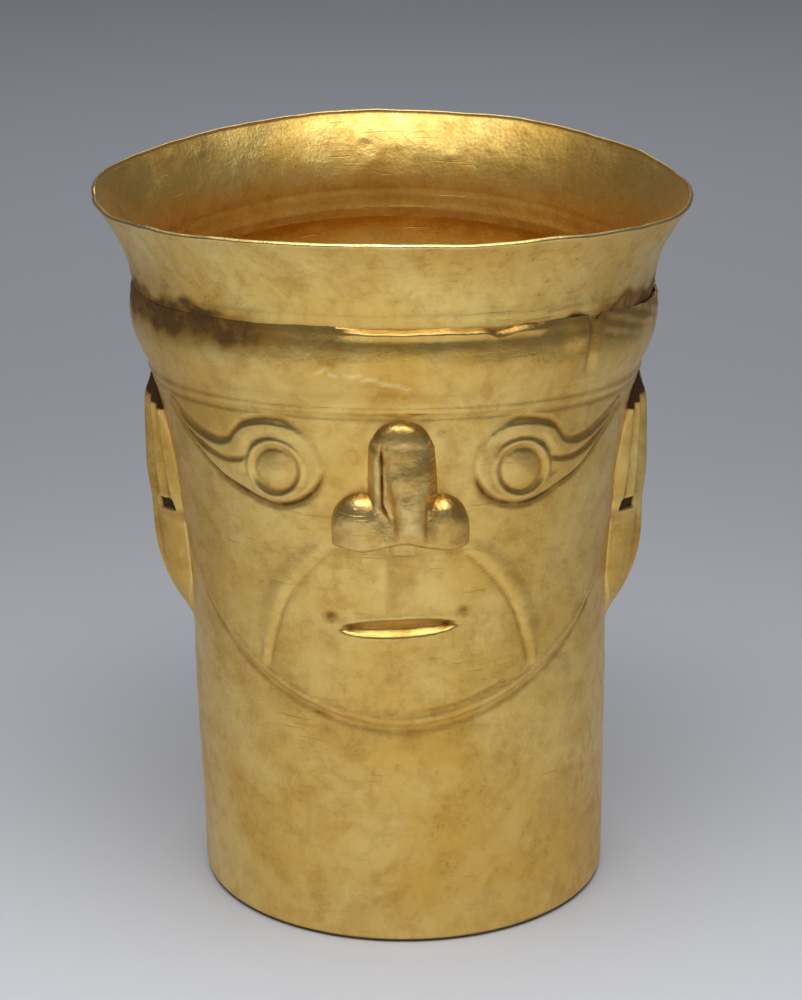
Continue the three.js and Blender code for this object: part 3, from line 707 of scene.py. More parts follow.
@dataclass(frozen=True)
class EarForm:
    """Sizes of an ear, with azimuths measured from the middle of its face."""

    top: float = 149.5
    notch: float = 112.6
    bottom: float = 75.3
    back_gap: float = 0.25
    foot: float = 0.45
    helix_azimuth: float = 75.6
    lobe_azimuth: float = 79.6
    tip_azimuth: float = 86.5
    face_gap: float = 0.9
    sheet: float = 0.9
    rows: int = 210
    columns: int = 76
    side_line: tuple[tuple[float, float], ...] = (
        (75.3, 57.4), (79.0, 59.1), (82.0, 60.9), (86.2, 63.1), (91.0, 64.9), (97.0, 66.4), (104.0, 67.1),
        (112.6, 67.3), (122.0, 68.2), (135.0, 68.3), (145.0, 67.9), (149.5, 66.3))
    helix: tuple[tuple[float, float], ...] = (
        (0.0, 0.05), (0.04, 0.28), (0.11, 0.44), (0.22, 0.24), (0.34, 0.72), (0.47, 0.54), (0.65, 1.0),
        (0.83, 0.84), (1.0, 0.25))
    plain: tuple[tuple[float, float], ...] = (
        (0.0, 0.05), (0.06, 0.30), (0.20, 0.52), (0.40, 0.76), (0.66, 1.0), (0.85, 0.86), (1.0, 0.25))
    lobe: tuple[tuple[float, float], ...] = (
        (0.0, 0.05), (0.04, 0.16), (0.10, 0.28), (0.24, 0.50), (0.40, 0.69), (0.50, 0.77), (0.58, 0.83),
        (0.65, 0.93), (0.73, 1.0), (0.86, 0.86), (1.0, 0.2))

    def crest(self, height: Array) -> Array:
        """Height of the ear's outermost line above the cup."""
        line = smooth_path(list(self.side_line), 8, False)
        return np.maximum(np.interp(height, line[:, 0], line[:, 1]) - FORM.radius(height), 0.1)

    def front(self, height: Array) -> Array:
        """Azimuth of the edge on the face side."""
        gap = np.degrees(self.face_gap / FORM.radius(height))
        beside_face = FACE.half_angle(np.maximum(height, 96.0)) + gap
        lobe = smooth_step(self.notch, 106.0, height)
        wanted = self.helix_azimuth + (self.lobe_azimuth - self.helix_azimuth) * lobe
        tip = np.clip((92.0 - height) / 16.7, 0.0, 1.0) ** 2
        wanted = wanted + (self.tip_azimuth - self.lobe_azimuth) * tip
        return np.maximum(wanted, beside_face)

    def back(self, height: Array) -> Array:
        """Azimuth of the edge where the two ears meet."""
        return 90.0 - np.degrees(self.back_gap / FORM.radius(height))

    def section(self, points: tuple[tuple[float, float], ...], share: Array) -> Array:
        """Read a section across the ear."""
        line = smooth_path(list(points), 6, False)
        return np.interp(share, line[:, 0], line[:, 1])

    def rise_at(self, share: Array, height: Array) -> tuple[Array, Array]:
        """Height of the ear above the cup, and the soil and painted shade in its hollows.

        Args:
            share: 0 at the face side, 1 at the back edge.
            height: Heights before the dip.

        Returns:
            The height above the cup and the soil with painted shade from 0 to 1.
        """
        curl = 0.14 * smooth_step(133.0, 146.0, height) ** 2 * smooth_step(1.0, 0.6, share)
        helix = self.section(self.helix, np.clip(share + curl, 0.0, 1.0))
        plain = self.section(self.plain, share)
        fade = smooth_step(108.0, 127.0, height - 3.0 * (share - 0.4))
        upper = plain + (helix - plain) * fade
        start = 144.4 - 5.5 * np.clip(0.67 - share, 0.0, 1.0) + 0.9 * self.section(self.helix, share)
        recess = smooth_step(start, start + 2.4, height)
        upper = upper * (1.0 - 0.07 * recess * smooth_step(1.0, 0.8, share))
        bend = share + 0.30 * np.clip((90.0 - height) / 14.0, 0.0, 1.0) ** 1.5
        lobe = self.section(self.lobe, np.clip(bend, 0.0, 1.0))
        low = smooth_step(self.notch + 3.0, self.notch - 4.0, height)
        shape = upper + (lobe - upper) * low
        hole = smooth_step(2.3, 1.1, np.abs(height - self.notch))
        hole = hole * smooth_step(0.08, 0.16, share) * smooth_step(0.50, 0.40, share)
        shape = shape - 0.16 * hole
        rise = np.maximum(0.25, self.crest(height) * shape)
        # The top recess and the notch are painted shade with soil; the lines between the ridges and along the
        # lobe are painted shade; both edges are darkened.
        soil = np.maximum.reduce([
            1.1 * hole, 1.15 * recess,
            0.35 * smooth_step(0.92, 1.0, share), 0.2 * smooth_step(0.06, 0.0, share),
            0.75 * (hump(share + curl, 0.22, 0.09) + hump(share + curl, 0.47, 0.09)) * fade ** 2,
            0.16 * hump(bend, 0.56, 0.07) * low])
        return rise, soil


FACE = FaceForm()


@dataclass(frozen=True)
class CollarForm:
    """Section of the flared mouth: the tucked tongue, the foot and the flare."""

    sheet: float = 1.0
    tongue_depth: float = 6.0
    flare_curve: float = 1.55
    shoulder_radius: float = 70.5
    shoulder_rise: float = 2.0
    rows: int = 190
    columns: int = 500
    curl_azimuth: float = -87.0
    curl_half_angle: float = 4.5
    curl_drop: float = 1.3
    curl_shift: float = 0.5
    radius_waver: float = 0.0017
    height_waver: float = 0.0020
    facet_count: float = 3.2

    def section(self) -> Array:
        """Closed section of the sheet, as radii and heights."""
        top = FORM.crease
        low = [(69.3, top - self.tongue_depth), (69.4, top - 3.4), (69.6, top - 2.6), (69.8, top - 1.7),
               (69.95, top - 0.7), (70.1, top + 0.4)]
        start = top + self.shoulder_rise
        steps = np.linspace(0.0, 1.0, 26)
        radii = self.shoulder_radius + (FORM.rim_radius - self.shoulder_radius) * steps ** self.flare_curve
        heights = start + (FORM.rim - 0.75 - start) * steps
        outer = np.array(low + list(zip(radii, heights)))
        inner = outer - np.array([self.sheet, 0.0])
        bead = [(0.0, 0.12), (-0.10, 0.24), (-0.34, 0.48), (-0.60, 0.70), (-0.84, 0.74), (-1.04, 0.52),
                (-1.07, 0.2)]
        edge = np.array(bead) + outer[-1]
        return np.concatenate([outer, edge, inner[::-1]])


class NodeSheet:
    """Short names for laying out a node tree."""

    def __init__(self, tree: bpy.types.NodeTree) -> None:
        """Keep the tree that the nodes go into."""
        self.tree = tree

    def node(self, kind: str, feeds: dict[str | int, object] | None = None,
             **settings: object) -> bpy.types.Node:
        """Add a node."""
        made = self.tree.nodes.new(kind)
        for key, value in settings.items():
            setattr(made, key, value)
        for key, value in (feeds or {}).items():
            self.feed(made.inputs[key], value)
        return made

    def feed(self, socket: bpy.types.NodeSocket, value: object) -> None:
        """Link a socket to another one, or set its plain value."""
        if isinstance(value, bpy.types.NodeSocket):
            self.tree.links.new(value, socket)
        else:
            socket.default_value = value

    def math(self, operation: str, first: object, second: object = 0.0, third: object = 0.0,
             clamp: bool = False) -> bpy.types.NodeSocket:
        """Add a Math node and give its output."""
        feeds = {0: first, 1: second, 2: third}
        return self.node("ShaderNodeMath", feeds, operation=operation, use_clamp=clamp).outputs[0]

    def times(self, first: object, *others: object) -> bpy.types.NodeSocket:
        """Multiply values, one after another."""
        for other in others:
            first = self.math("MULTIPLY", first, other)
        return first

    def plus(self, first: object, second: object, clamp: bool = False) -> bpy.types.NodeSocket:
        """Add two values."""
        return self.math("ADD", first, second, clamp=clamp)

    def minus(self, first: object, second: object) -> bpy.types.NodeSocket:
        """Take one value from another."""
        return self.math("SUBTRACT", first, second)

    def fused(self, first: object, second: object, third: object,
              clamp: bool = False) -> bpy.types.NodeSocket:
        """Multiply two values and add a third."""
        return self.math("MULTIPLY_ADD", first, second, third, clamp)

    def vector(self, operation: str, first: object, second: object = (0.0, 0.0, 0.0)) -> bpy.types.NodeSocket:
        """Add a Vector Math node and give its vector."""
        return self.node("ShaderNodeVectorMath", {0: first, 1: second}, operation=operation).outputs[0]

    def scaled(self, vector: object, scale: object) -> bpy.types.NodeSocket:
        """Scale a vector."""
        return self.node("ShaderNodeVectorMath", {0: vector, "Scale": scale}, operation="SCALE").outputs[0]

    def split(self, vector: object) -> bpy.types.bpy_prop_collection:
        """The three parts of a vector."""
        return self.node("ShaderNodeSeparateXYZ", {0: vector}).outputs

    def combined(self, x: object, y: object, z: object) -> bpy.types.NodeSocket:
        """A vector from its three parts."""
        return self.node("ShaderNodeCombineXYZ", {0: x, 1: y, 2: z}).outputs[0]

    def noise(self, vector: object, scale: object, detail: float = 3.0, rough: float = 0.5,
              warp: float = 0.0) -> bpy.types.NodeSocket:
        """Read a Noise texture."""
        feeds = {"Vector": vector, "Scale": scale, "Detail": detail, "Roughness": rough, "Distortion": warp}
        return self.node("ShaderNodeTexNoise", feeds).outputs[0]

    def cells(self, vector: object, scale: object, smoothness: float) -> bpy.types.NodeSocket:
        """Distance to the middle of the nearest soft cell."""
        feeds = {"Vector": vector, "Scale": scale, "Smoothness": smoothness}
        return self.node("ShaderNodeTexVoronoi", feeds, feature="SMOOTH_F1").outputs["Distance"]

    def ramp(self, value: object, low: object, high: object,
             kind: str = "SMOOTHSTEP") -> bpy.types.NodeSocket:
        """Raise a value from 0 to 1 between two limits."""
        feeds = {"Value": value, "From Min": low, "From Max": high}
        return self.node("ShaderNodeMapRange", feeds, interpolation_type=kind).outputs[0]

    def mix(self, share: object, first: object, second: object) -> bpy.types.NodeSocket:
        """Mix two colours, 0 for the first and 1 for the second."""
        feeds = {0: share, 6: first, 7: second}
        return self.node("ShaderNodeMix", feeds, data_type="RGBA", clamp_factor=True).outputs[2]


SOCKETS = {"float": "NodeSocketFloat", "int": "NodeSocketInt", "colour": "NodeSocketColor",
           "vector": "NodeSocketVector", "geometry": "NodeSocketGeometry", "material": "NodeSocketMaterial"}


def input_name(word: str) -> str:
    """The name of an input from its keyword, which has _ for a space."""
    return word.replace("_", " ").title()


class Tool:
    """A node group with named inputs, built once and used with different values."""

    title: str = ""
    kind: str = "ShaderNodeTree"
    takes: tuple[tuple[str, str, object], ...] = ()
    gives: tuple[tuple[str, str], ...] = ()

    def __init__(self) -> None:
        """Build the tree."""
        self.tree = bpy.data.node_groups.new(self.title, self.kind)
        self.identifiers: dict[str, str] = {}
        for name, kind, default in self.takes:
            socket = self.tree.interface.new_socket(name, in_out="INPUT", socket_type=SOCKETS[kind])
            if default is not None:
                socket.default_value = default
            self.identifiers[name] = socket.identifier
        for name, kind in self.gives:
            self.tree.interface.new_socket(name, in_out="OUTPUT", socket_type=SOCKETS[kind])
        self.sheet = NodeSheet(self.tree)
        self.inputs = self.sheet.node("NodeGroupInput").outputs
        self.outputs = self.sheet.node("NodeGroupOutput").inputs
        self.lay_out()

    def lay_out(self) -> None:
        """Fill the tree with its nodes."""
        raise NotImplementedError

    def give(self, **values: object) -> None:
        """Put values out, by the names of the outputs."""
        for name, value in values.items():
            self.sheet.feed(self.outputs[name], value)

    def place(self, sheet: NodeSheet, **values: object) -> bpy.types.bpy_prop_collection:
        """Put the group into a material and give its outputs, with its inputs named by keyword."""
        feeds = {input_name(word): value for word, value in values.items()}
        return sheet.node("ShaderNodeGroup", feeds, node_tree=self.tree).outputs


class GeometryTool(Tool):
    """A Geometry Nodes tree that shapes a piece and is then applied."""

    kind = "GeometryNodeTree"
    gives = (("Geometry", "geometry"),)

    def apply(self, piece: bpy.types.Object, **values: object) -> bpy.types.Object:
        """Run the tree on a piece and keep the result as a plain mesh.

        Args:
            piece: The piece to shape.
            **values: Values for the inputs, by keyword.

        Returns:
            A piece of the same name with the result as its mesh.
        """
        modifier = piece.modifiers.new(self.title, "NODES")
        modifier.node_group = self.tree
        for word, value in values.items():
            modifier[self.identifiers[input_name(word)]] = value
        graph = bpy.context.evaluated_depsgraph_get()
        mesh = bpy.data.meshes.new_from_object(piece.evaluated_get(graph), depsgraph=graph)
        name, old = piece.name, piece.data
        bpy.data.objects.remove(piece)
        bpy.data.meshes.remove(old)
        mesh.name = name
        return add_object(name, mesh)

    def finish(self, geometry: object) -> None:
        """Realize what the tree made, give it its material and put it out."""
        real = self.sheet.node("GeometryNodeRealizeInstances", {0: geometry}).outputs[0]
        feeds = {"Geometry": real, "Material": self.inputs["Material"]}
        self.give(Geometry=self.sheet.node("GeometryNodeSetMaterial", feeds).outputs[0])


class TurnedSheet(GeometryTool):
    """Turns a closed section round the axis, with the vessel's lean and dip and a wavering rim."""

    title = "Turned sheet"
    takes = (("Geometry", "geometry", None), ("Columns", "int", 360), ("Rows", "int", 60),
             ("Lean", "float", 0.0), ("Rim Height", "float", 0.2), ("Dip", "float", 0.0),
             ("Waver From", "float", 0.18), ("Radius Waver", "float", 0.0), ("Height Waver", "float", 0.0),
             ("Facet Count", "float", 7.0), ("Seed", "float", 0.0), ("Material", "material", None))

    def lay_out(self) -> None:
        """Lay a grid over the section and the turn, and bend it into place."""
        sheet, taken = self.sheet, self.inputs
        curve = sheet.node("GeometryNodeMeshToCurve", {0: taken["Geometry"]}).outputs[0]
        grid = sheet.node("GeometryNodeMeshGrid", {
            "Size X": 1.0, "Size Y": 1.0, "Vertices X": taken["Columns"], "Vertices Y": taken["Rows"]})
        around, along, _ = sheet.split(sheet.node("GeometryNodeInputPosition").outputs[0])
        angle = sheet.times(sheet.plus(around, 0.5), 2.0 * math.pi)
        feeds = {"Curves": curve, "Factor": sheet.plus(along, 0.5, clamp=True)}
        sample = sheet.node("GeometryNodeSampleCurve", feeds, mode="FACTOR", use_all_curves=True)
        radius, _, height = sheet.split(sample.outputs["Position"])
        sine, cosine = sheet.math("SINE", angle), sheet.math("COSINE", angle)
        turn = sheet.combined(sine, cosine, taken["Seed"])
        upper = sheet.ramp(height, taken["Waver From"], taken["Rim Height"], "LINEAR")
        slow = sheet.minus(sheet.noise(turn, 1.6, 1.0), 0.5)
        quick = sheet.minus(sheet.noise(turn, taken["Facet Count"], 2.0), 0.5)
        shake = sheet.plus(sheet.times(slow, 1.6), sheet.times(quick, 0.8))
        sway = sheet.times(shake, upper, taken["Radius Waver"])
        other = sheet.noise(sheet.vector("ADD", turn, (4.0, 1.0, 7.0)), taken["Facet Count"], 2.0)
        bob = sheet.times(sheet.minus(other, 0.62), taken["Height Waver"], sheet.math("POWER", upper, 2.0))
        wide, tall = sheet.plus(radius, sway), sheet.plus(height, bob)
        lean = sheet.times(sheet.math("DIVIDE", tall, taken["Rim Height"]), taken["Lean"])
        dip = sheet.times(sheet.math("POWER", sine, 2.0), taken["Dip"])
        placed = sheet.combined(sheet.minus(sheet.times(wide, sine), lean), sheet.times(wide, cosine, -1.0),
                                sheet.minus(tall, dip))
        moved = sheet.node("GeometryNodeSetPosition", {"Geometry": grid.outputs["Mesh"], "Position": placed})
        feeds = {"Geometry": moved.outputs[0], "Distance": 1e-6}
        self.finish(sheet.node("GeometryNodeMergeByDistance", feeds).outputs[0])


class PlanishedSheet(GeometryTool):
    """Hammer marks, a slow waver and a few dents, pushed along the radius so that both walls move."""

    title = "Planished sheet"
    takes = (("Geometry", "geometry", None), ("Mark Size", "float", 0.009), ("Mark Depth", "float", 0.0001),
             ("Waver Size", "float", 0.04), ("Waver Depth", "float", 0.0003), ("Dent Density", "float", 0.0),
             ("Dent Radius", "float", 0.003), ("Dent Depth", "float", 0.0002),
             ("Still Below", "float", 0.004), ("Still Above", "float", 1.0), ("Seed", "int", 1),
             ("Material", "material", None))

    def lay_out(self) -> None:
        """Add up the marks and move every point along its radius."""
        sheet, taken = self.sheet, self.inputs
        position = sheet.node("GeometryNodeInputPosition").outputs[0]
        shifted = sheet.vector("ADD", position, sheet.scaled((0.37, 0.21, 0.13), taken["Seed"]))
        cells = sheet.cells(shifted, sheet.math("DIVIDE", 1.0, taken["Mark Size"]), 0.6)
        marks = sheet.times(sheet.minus(cells, 0.45), taken["Mark Depth"])
        slow = sheet.noise(shifted, sheet.math("DIVIDE", 1.0, taken["Waver Size"]), 2.0)
        waver = sheet.times(sheet.minus(slow, 0.5), taken["Waver Depth"])
        feeds = {"Mesh": taken["Geometry"], "Density": taken["Dent Density"], "Seed": taken["Seed"]}
        spots = sheet.node("GeometryNodeDistributePointsOnFaces", feeds, distribute_method="RANDOM")
        nearest = sheet.node("GeometryNodeProximity", {0: spots.outputs["Points"]}, target_element="POINTS")
        close = sheet.ramp(nearest.outputs["Distance"], taken["Dent Radius"], 0.0)
        wanted = sheet.math("GREATER_THAN", taken["Dent Density"], 0.0)
        dents = sheet.times(close, taken["Dent Depth"], wanted)
        height = sheet.split(position)[2]
        above = sheet.ramp(height, taken["Still Below"], sheet.plus(taken["Still Below"], 0.006))
        below = sheet.ramp(height, sheet.plus(taken["Still Above"], 0.003), taken["Still Above"])
        total = sheet.times(sheet.minus(sheet.plus(marks, waver), dents), sheet.times(above, below))
        outward = sheet.vector("NORMALIZE", sheet.vector("MULTIPLY", position, (1.0, 1.0, 0.0)))
        feeds = {"Geometry": taken["Geometry"], "Offset": sheet.scaled(outward, total)}
        self.finish(sheet.node("GeometryNodeSetPosition", feeds).outputs[0])


class GoldClouds(Tool):
    """Slow clouds between a pale and a deep gold, with stained patches, blotches and flecks."""

    title = "Gold clouds"
    takes = (("Vector", "vector", None), ("Scale", "float", 30.0), ("Pale", "colour", None),
             ("Deep", "colour", None), ("Stain", "colour", None), ("Stain Amount", "float", 0.3),
             ("Flecks", "float", 0.5))
    gives = (("Color", "colour"), ("Clouds", "float"), ("Mottle", "float"))

    def lay_out(self) -> None:
        """Mix the golds by four sizes of noise."""
        sheet, taken = self.sheet, self.inputs
        vector = taken["Vector"]
        broad = sheet.noise(vector, taken["Scale"], 5.0, 0.62, 0.4)
        clouds = sheet.ramp(broad, 0.33, 0.68)
        colour = sheet.mix(clouds, taken["Pale"], taken["Deep"])
        shifted = sheet.vector("ADD", vector, (1.3, 0.4, 2.1))
        finer = sheet.noise(shifted, sheet.times(taken["Scale"], 2.3), 8.0, 0.7, 0.8)
        patches = sheet.ramp(finer, 0.48, 0.66)
        blotch = sheet.noise(shifted, 150.0, 8.0, 0.7)
        mottle = sheet.ramp(blotch, 0.42, 0.66)
        stained = sheet.fused(patches, 0.6, sheet.times(mottle, 0.55))
        stained = sheet.math("MULTIPLY", stained, taken["Stain Amount"], clamp=True)
        colour = sheet.mix(stained, colour, taken["Stain"])
        grains = sheet.ramp(sheet.noise(vector, 900.0, 2.0, 0.6), 0.54, 0.64)
        gathered = sheet.times(sheet.ramp(blotch, 0.50, 0.62), sheet.ramp(broad, 0.42, 0.58))
        flecks = sheet.times(sheet.times(grains, gathered), taken["Flecks"])
        self.give(Color=sheet.mix(flecks, colour, taken["Stain"]), Clouds=clouds,
                  Mottle=sheet.math("MAXIMUM", mottle, flecks))


class CreaseSoilAndShade(Tool):
    """Burial soil and painted shade held in hollows, broken up by fine noise, with loose specks round it."""

    title = "Crease soil"
    takes = (("Vector", "vector", None), ("Hollow", "float", 0.0), ("Soil", "float", 0.0),
             ("Amount", "float", 1.0), ("Specks", "float", 0.3))
    gives = (("Mask", "float"),)

    def lay_out(self) -> None:
        """Break the hollows up and scatter specks."""
        sheet, taken = self.sheet, self.inputs
        grain = sheet.noise(taken["Vector"], 420.0, 6.0, 0.65)
        patch = sheet.noise(taken["Vector"], 95.0, 4.0, 0.6)
        broken = sheet.plus(sheet.times(grain, 0.9), sheet.times(patch, 1.1))
        # Hollows and the soil attribute darken together: soil, and painted shade in the creases.
        held = sheet.plus(sheet.times(taken["Hollow"], 0.65), taken["Soil"])
        held = sheet.times(held, broken, taken["Amount"])
        loose = sheet.times(sheet.ramp(grain, 0.60, 0.74), sheet.ramp(patch, 0.50, 0.66), taken["Specks"])
        self.give(Mask=sheet.plus(held, loose, clamp=True))


class HairLines(Tool):
    """Fine straight scratches in patches, and a few hair cracks."""

    title = "Hair lines"
    takes = (("Vector", "vector", None), ("Cracks", "float", 0.6))
    gives = (("Mask", "float"),)

    def lay_out(self) -> None:
        """Take the peaks of much stretched noise as scratches and the borders of cells as cracks."""
        sheet, vector = self.sheet, self.inputs["Vector"]
        total = None
        for tilt, turn in ((0.95, 0.3), (1.35, 1.5), (1.15, 2.7)):
            place = sheet.node("ShaderNodeMapping", {
                "Vector": vector, "Rotation": (tilt, 0.5 * tilt, turn), "Scale": (55.0, 55.0, 1700.0)})
            line = sheet.ramp(sheet.noise(place.outputs[0], 1.0, 1.0), 0.69, 0.77)
            shifted = sheet.vector("ADD", vector, (turn, tilt, 0.3))
            line = sheet.times(line, sheet.ramp(sheet.noise(shifted, 48.0, 2.0), 0.52, 0.62))
            total = line if total is None else sheet.math("MAXIMUM", total, line)
        feeds = {"Vector": vector, "Scale": 260.0, "Detail": 2.0}
        wander = sheet.node("ShaderNodeTexNoise", feeds).outputs["Color"]
        feeds = {"Vector": sheet.vector("ADD", vector, sheet.scaled(wander, 0.006)), "Scale": 85.0}
        cells = sheet.node("ShaderNodeTexVoronoi", feeds, feature="DISTANCE_TO_EDGE")
        border = sheet.ramp(cells.outputs["Distance"], 0.022, 0.004)
        where = sheet.ramp(sheet.noise(vector, 38.0, 3.0), 0.60, 0.66)
        cracks = sheet.times(border, where, self.inputs["Cracks"])
        self.give(Mask=sheet.math("MAXIMUM", total, cracks))


class HammerSkin(Tool):
    """Fine planishing marks and the grain of rubbed gold, as heights from 0 to 1."""

    title = "Hammer skin"
    takes = (("Vector", "vector", None), ("Mark Scale", "float", 180.0), ("Grain", "float", 0.3))
    gives = (("Height", "float"),)

    def lay_out(self) -> None:
        """Add small soft cells, a waver and grain."""
        sheet, vector = self.sheet, self.inputs["Vector"]
        cells = sheet.cells(vector, self.inputs["Mark Scale"], 0.8)
        waver = sheet.noise(vector, 140.0, 4.0, 0.6)
        height = sheet.plus(sheet.times(cells, 0.5), sheet.times(waver, 0.8))
        grain = sheet.times(sheet.noise(vector, 900.0, 4.0, 0.7), self.inputs["Grain"])
        self.give(Height=sheet.plus(height, grain))


Colour = tuple[float, float, float, float]


@dataclass(frozen=True)
class GoldFinish:
    """One gold surface: its golds, its soil and painted shade, its painted highlight on ridges and how rough
    it is.
    """

    name: str
    pale: Colour = (0.90, 0.635, 0.200, 1.0)
    deep: Colour = (0.80, 0.480, 0.095, 1.0)
    stain: Colour = (0.60, 0.320, 0.062, 1.0)
    # The dark colour of heavy soil and of painted shade.
    soil: Colour = (0.185, 0.095, 0.026, 1.0)
    # Pale bare gold for the scuffs, and the colour of the painted highlight on ridges.
    glint: Colour = (0.98, 0.80, 0.36, 1.0)
    roughness: float = 0.35
    cloud_scale: float = 26.0
    stain_amount: float = 0.62
    flecks: float = 0.7
    soil_amount: float = 0.9
    specks: float = 0.16
    lines: float = 0.40
    bump: float = 0.00030
    grain: float = 0.40
    specular: float = 0.15

    def make(self, kit: "ShaderKit") -> bpy.types.Material:
        """Build the material.

        Args:
            kit: The shared node groups.

        Returns:
            The new material.
        """
        material = bpy.data.materials.new(self.name)
        material.use_nodes = True
        sheet = NodeSheet(material.node_tree)
        where = sheet.node("ShaderNodeTexCoord").outputs["Object"]
        clouds = kit.clouds.place(sheet, vector=where, scale=self.cloud_scale, pale=self.pale, deep=self.deep,
                                  stain=self.stain, stain_amount=self.stain_amount, flecks=self.flecks)
        hollow, soil_and_shade, scuff_and_sheen = (sheet.node("ShaderNodeAttribute", attribute_name=name).outputs["Fac"]
                             for name in ("hollow", "soil", "scuff_and_sheen"))
        soil = kit.soil.place(sheet, vector=where, hollow=hollow, soil=soil_and_shade, amount=self.soil_amount,
                              specks=self.specks)["Mask"]
        lines = kit.lines.place(sheet, vector=where)["Mask"]
        skin = kit.skin.place(sheet, vector=where, grain=self.grain)["Height"]
        # Ridges are lightened towards the glint colour as a painted highlight; the scuffs lighten as real
        # wear.
        colour = sheet.mix(sheet.times(scuff_and_sheen, 0.5), clouds["Color"], self.glint)
        colour = sheet.mix(sheet.times(lines, self.lines), colour, self.stain)
        # Soil and painted shade darken the colour towards the stain and then the soil colour, and take the
        # metal away where heavy.
        colour = sheet.mix(sheet.times(sheet.ramp(soil, 0.05, 0.75), 0.95), colour, self.stain)
        heavy = sheet.ramp(soil, 0.50, 0.95)
        rough = self.roughness - 0.04
        for mask, share in ((clouds["Clouds"], 0.05), (clouds["Mottle"], 0.07), (soil, 0.30)):
            rough = sheet.fused(mask, share, rough)
        height = sheet.fused(soil, 0.12, sheet.fused(lines, -0.12, skin))
        bump = sheet.node("ShaderNodeBump", {"Strength": 1.0, "Distance": self.bump, "Height": height})
        looks = {"Base Color": sheet.mix(heavy, colour, self.soil),
                 "Roughness": sheet.fused(scuff_and_sheen, -0.08, rough, clamp=True),
                 "Specular IOR Level": self.specular, "Metallic": sheet.fused(heavy, -0.85, 1.0),
                 "Normal": bump.outputs[0]}
        for name, value in looks.items():
            sheet.feed(material.node_tree.nodes["Principled BSDF"].inputs[name], value)
        return material


@dataclass
class ShaderKit:
    """The node groups that every gold finish shares."""

    clouds: GoldClouds = field(default_factory=GoldClouds)
    soil: CreaseSoilAndShade = field(default_factory=CreaseSoilAndShade)
    lines: HairLines = field(default_factory=HairLines)
    skin: HammerSkin = field(default_factory=HammerSkin)


@dataclass
class Workshop:
    """What every piece needs: the shared tools and the finishes."""

    kit: ShaderKit = field(default_factory=ShaderKit)
    turned: TurnedSheet = field(default_factory=TurnedSheet)
    planished: PlanishedSheet = field(default_factory=PlanishedSheet)


def point_array(mesh: bpy.types.Mesh) -> Array:
    """Read a mesh's points in millimetres."""
    flat = np.empty(len(mesh.vertices) * 3)
    mesh.vertices.foreach_get("co", flat)
    return flat.reshape(-1, 3) / MM


def bending(mesh: bpy.types.Mesh, points: Array, rounds: int) -> Array:
    """How sharply the surface bends at each point: positive in hollows, negative on ridges.

    Args:
        mesh: The mesh.
        points: Its points in millimetres.
        rounds: How often the result is smoothed.

    Returns:
        The bend at each point, per millimetre.
    """
    edges = np.empty(len(mesh.edges) * 2, dtype=np.int64)
    mesh.edges.foreach_get("vertices", edges)
    a, b = edges.reshape(-1, 2).T
    normals = np.empty(len(mesh.vertices) * 3)
    mesh.vertex_normals.foreach_get("vector", normals)
    normals = normals.reshape(-1, 3)
    span = points[b] - points[a]
    square = np.maximum(np.einsum("ij,ij->i", span, span), 1e-4)
    count = np.bincount(a, minlength=len(points)) + np.bincount(b, minlength=len(points))
    bend = np.bincount(a, np.einsum("ij,ij->i", span, normals[a]) / square, len(points))
    bend -= np.bincount(b, np.einsum("ij,ij->i", span, normals[b]) / square, len(points))
    bend = 2.0 * bend / np.maximum(count, 1)
    for _ in range(rounds):
        near = np.bincount(a, bend[b], len(points)) + np.bincount(b, bend[a], len(points))
        bend = 0.4 * bend + 0.6 * near / np.maximum(count, 1)
    return bend


@dataclass(frozen=True)
class Hammering:
    """How a sheet is planished: the sizes of its marks, wavers and dents, in metres."""

    mark_size: float
    mark_depth: float
    waver_size: float
    waver_depth: float
    seed: int
    dent_density: float = 0.0
    dent_radius: float = 0.003
    dent_depth: float = 0.0002
    still_below: float = 0.004
    still_above: float = 1.0


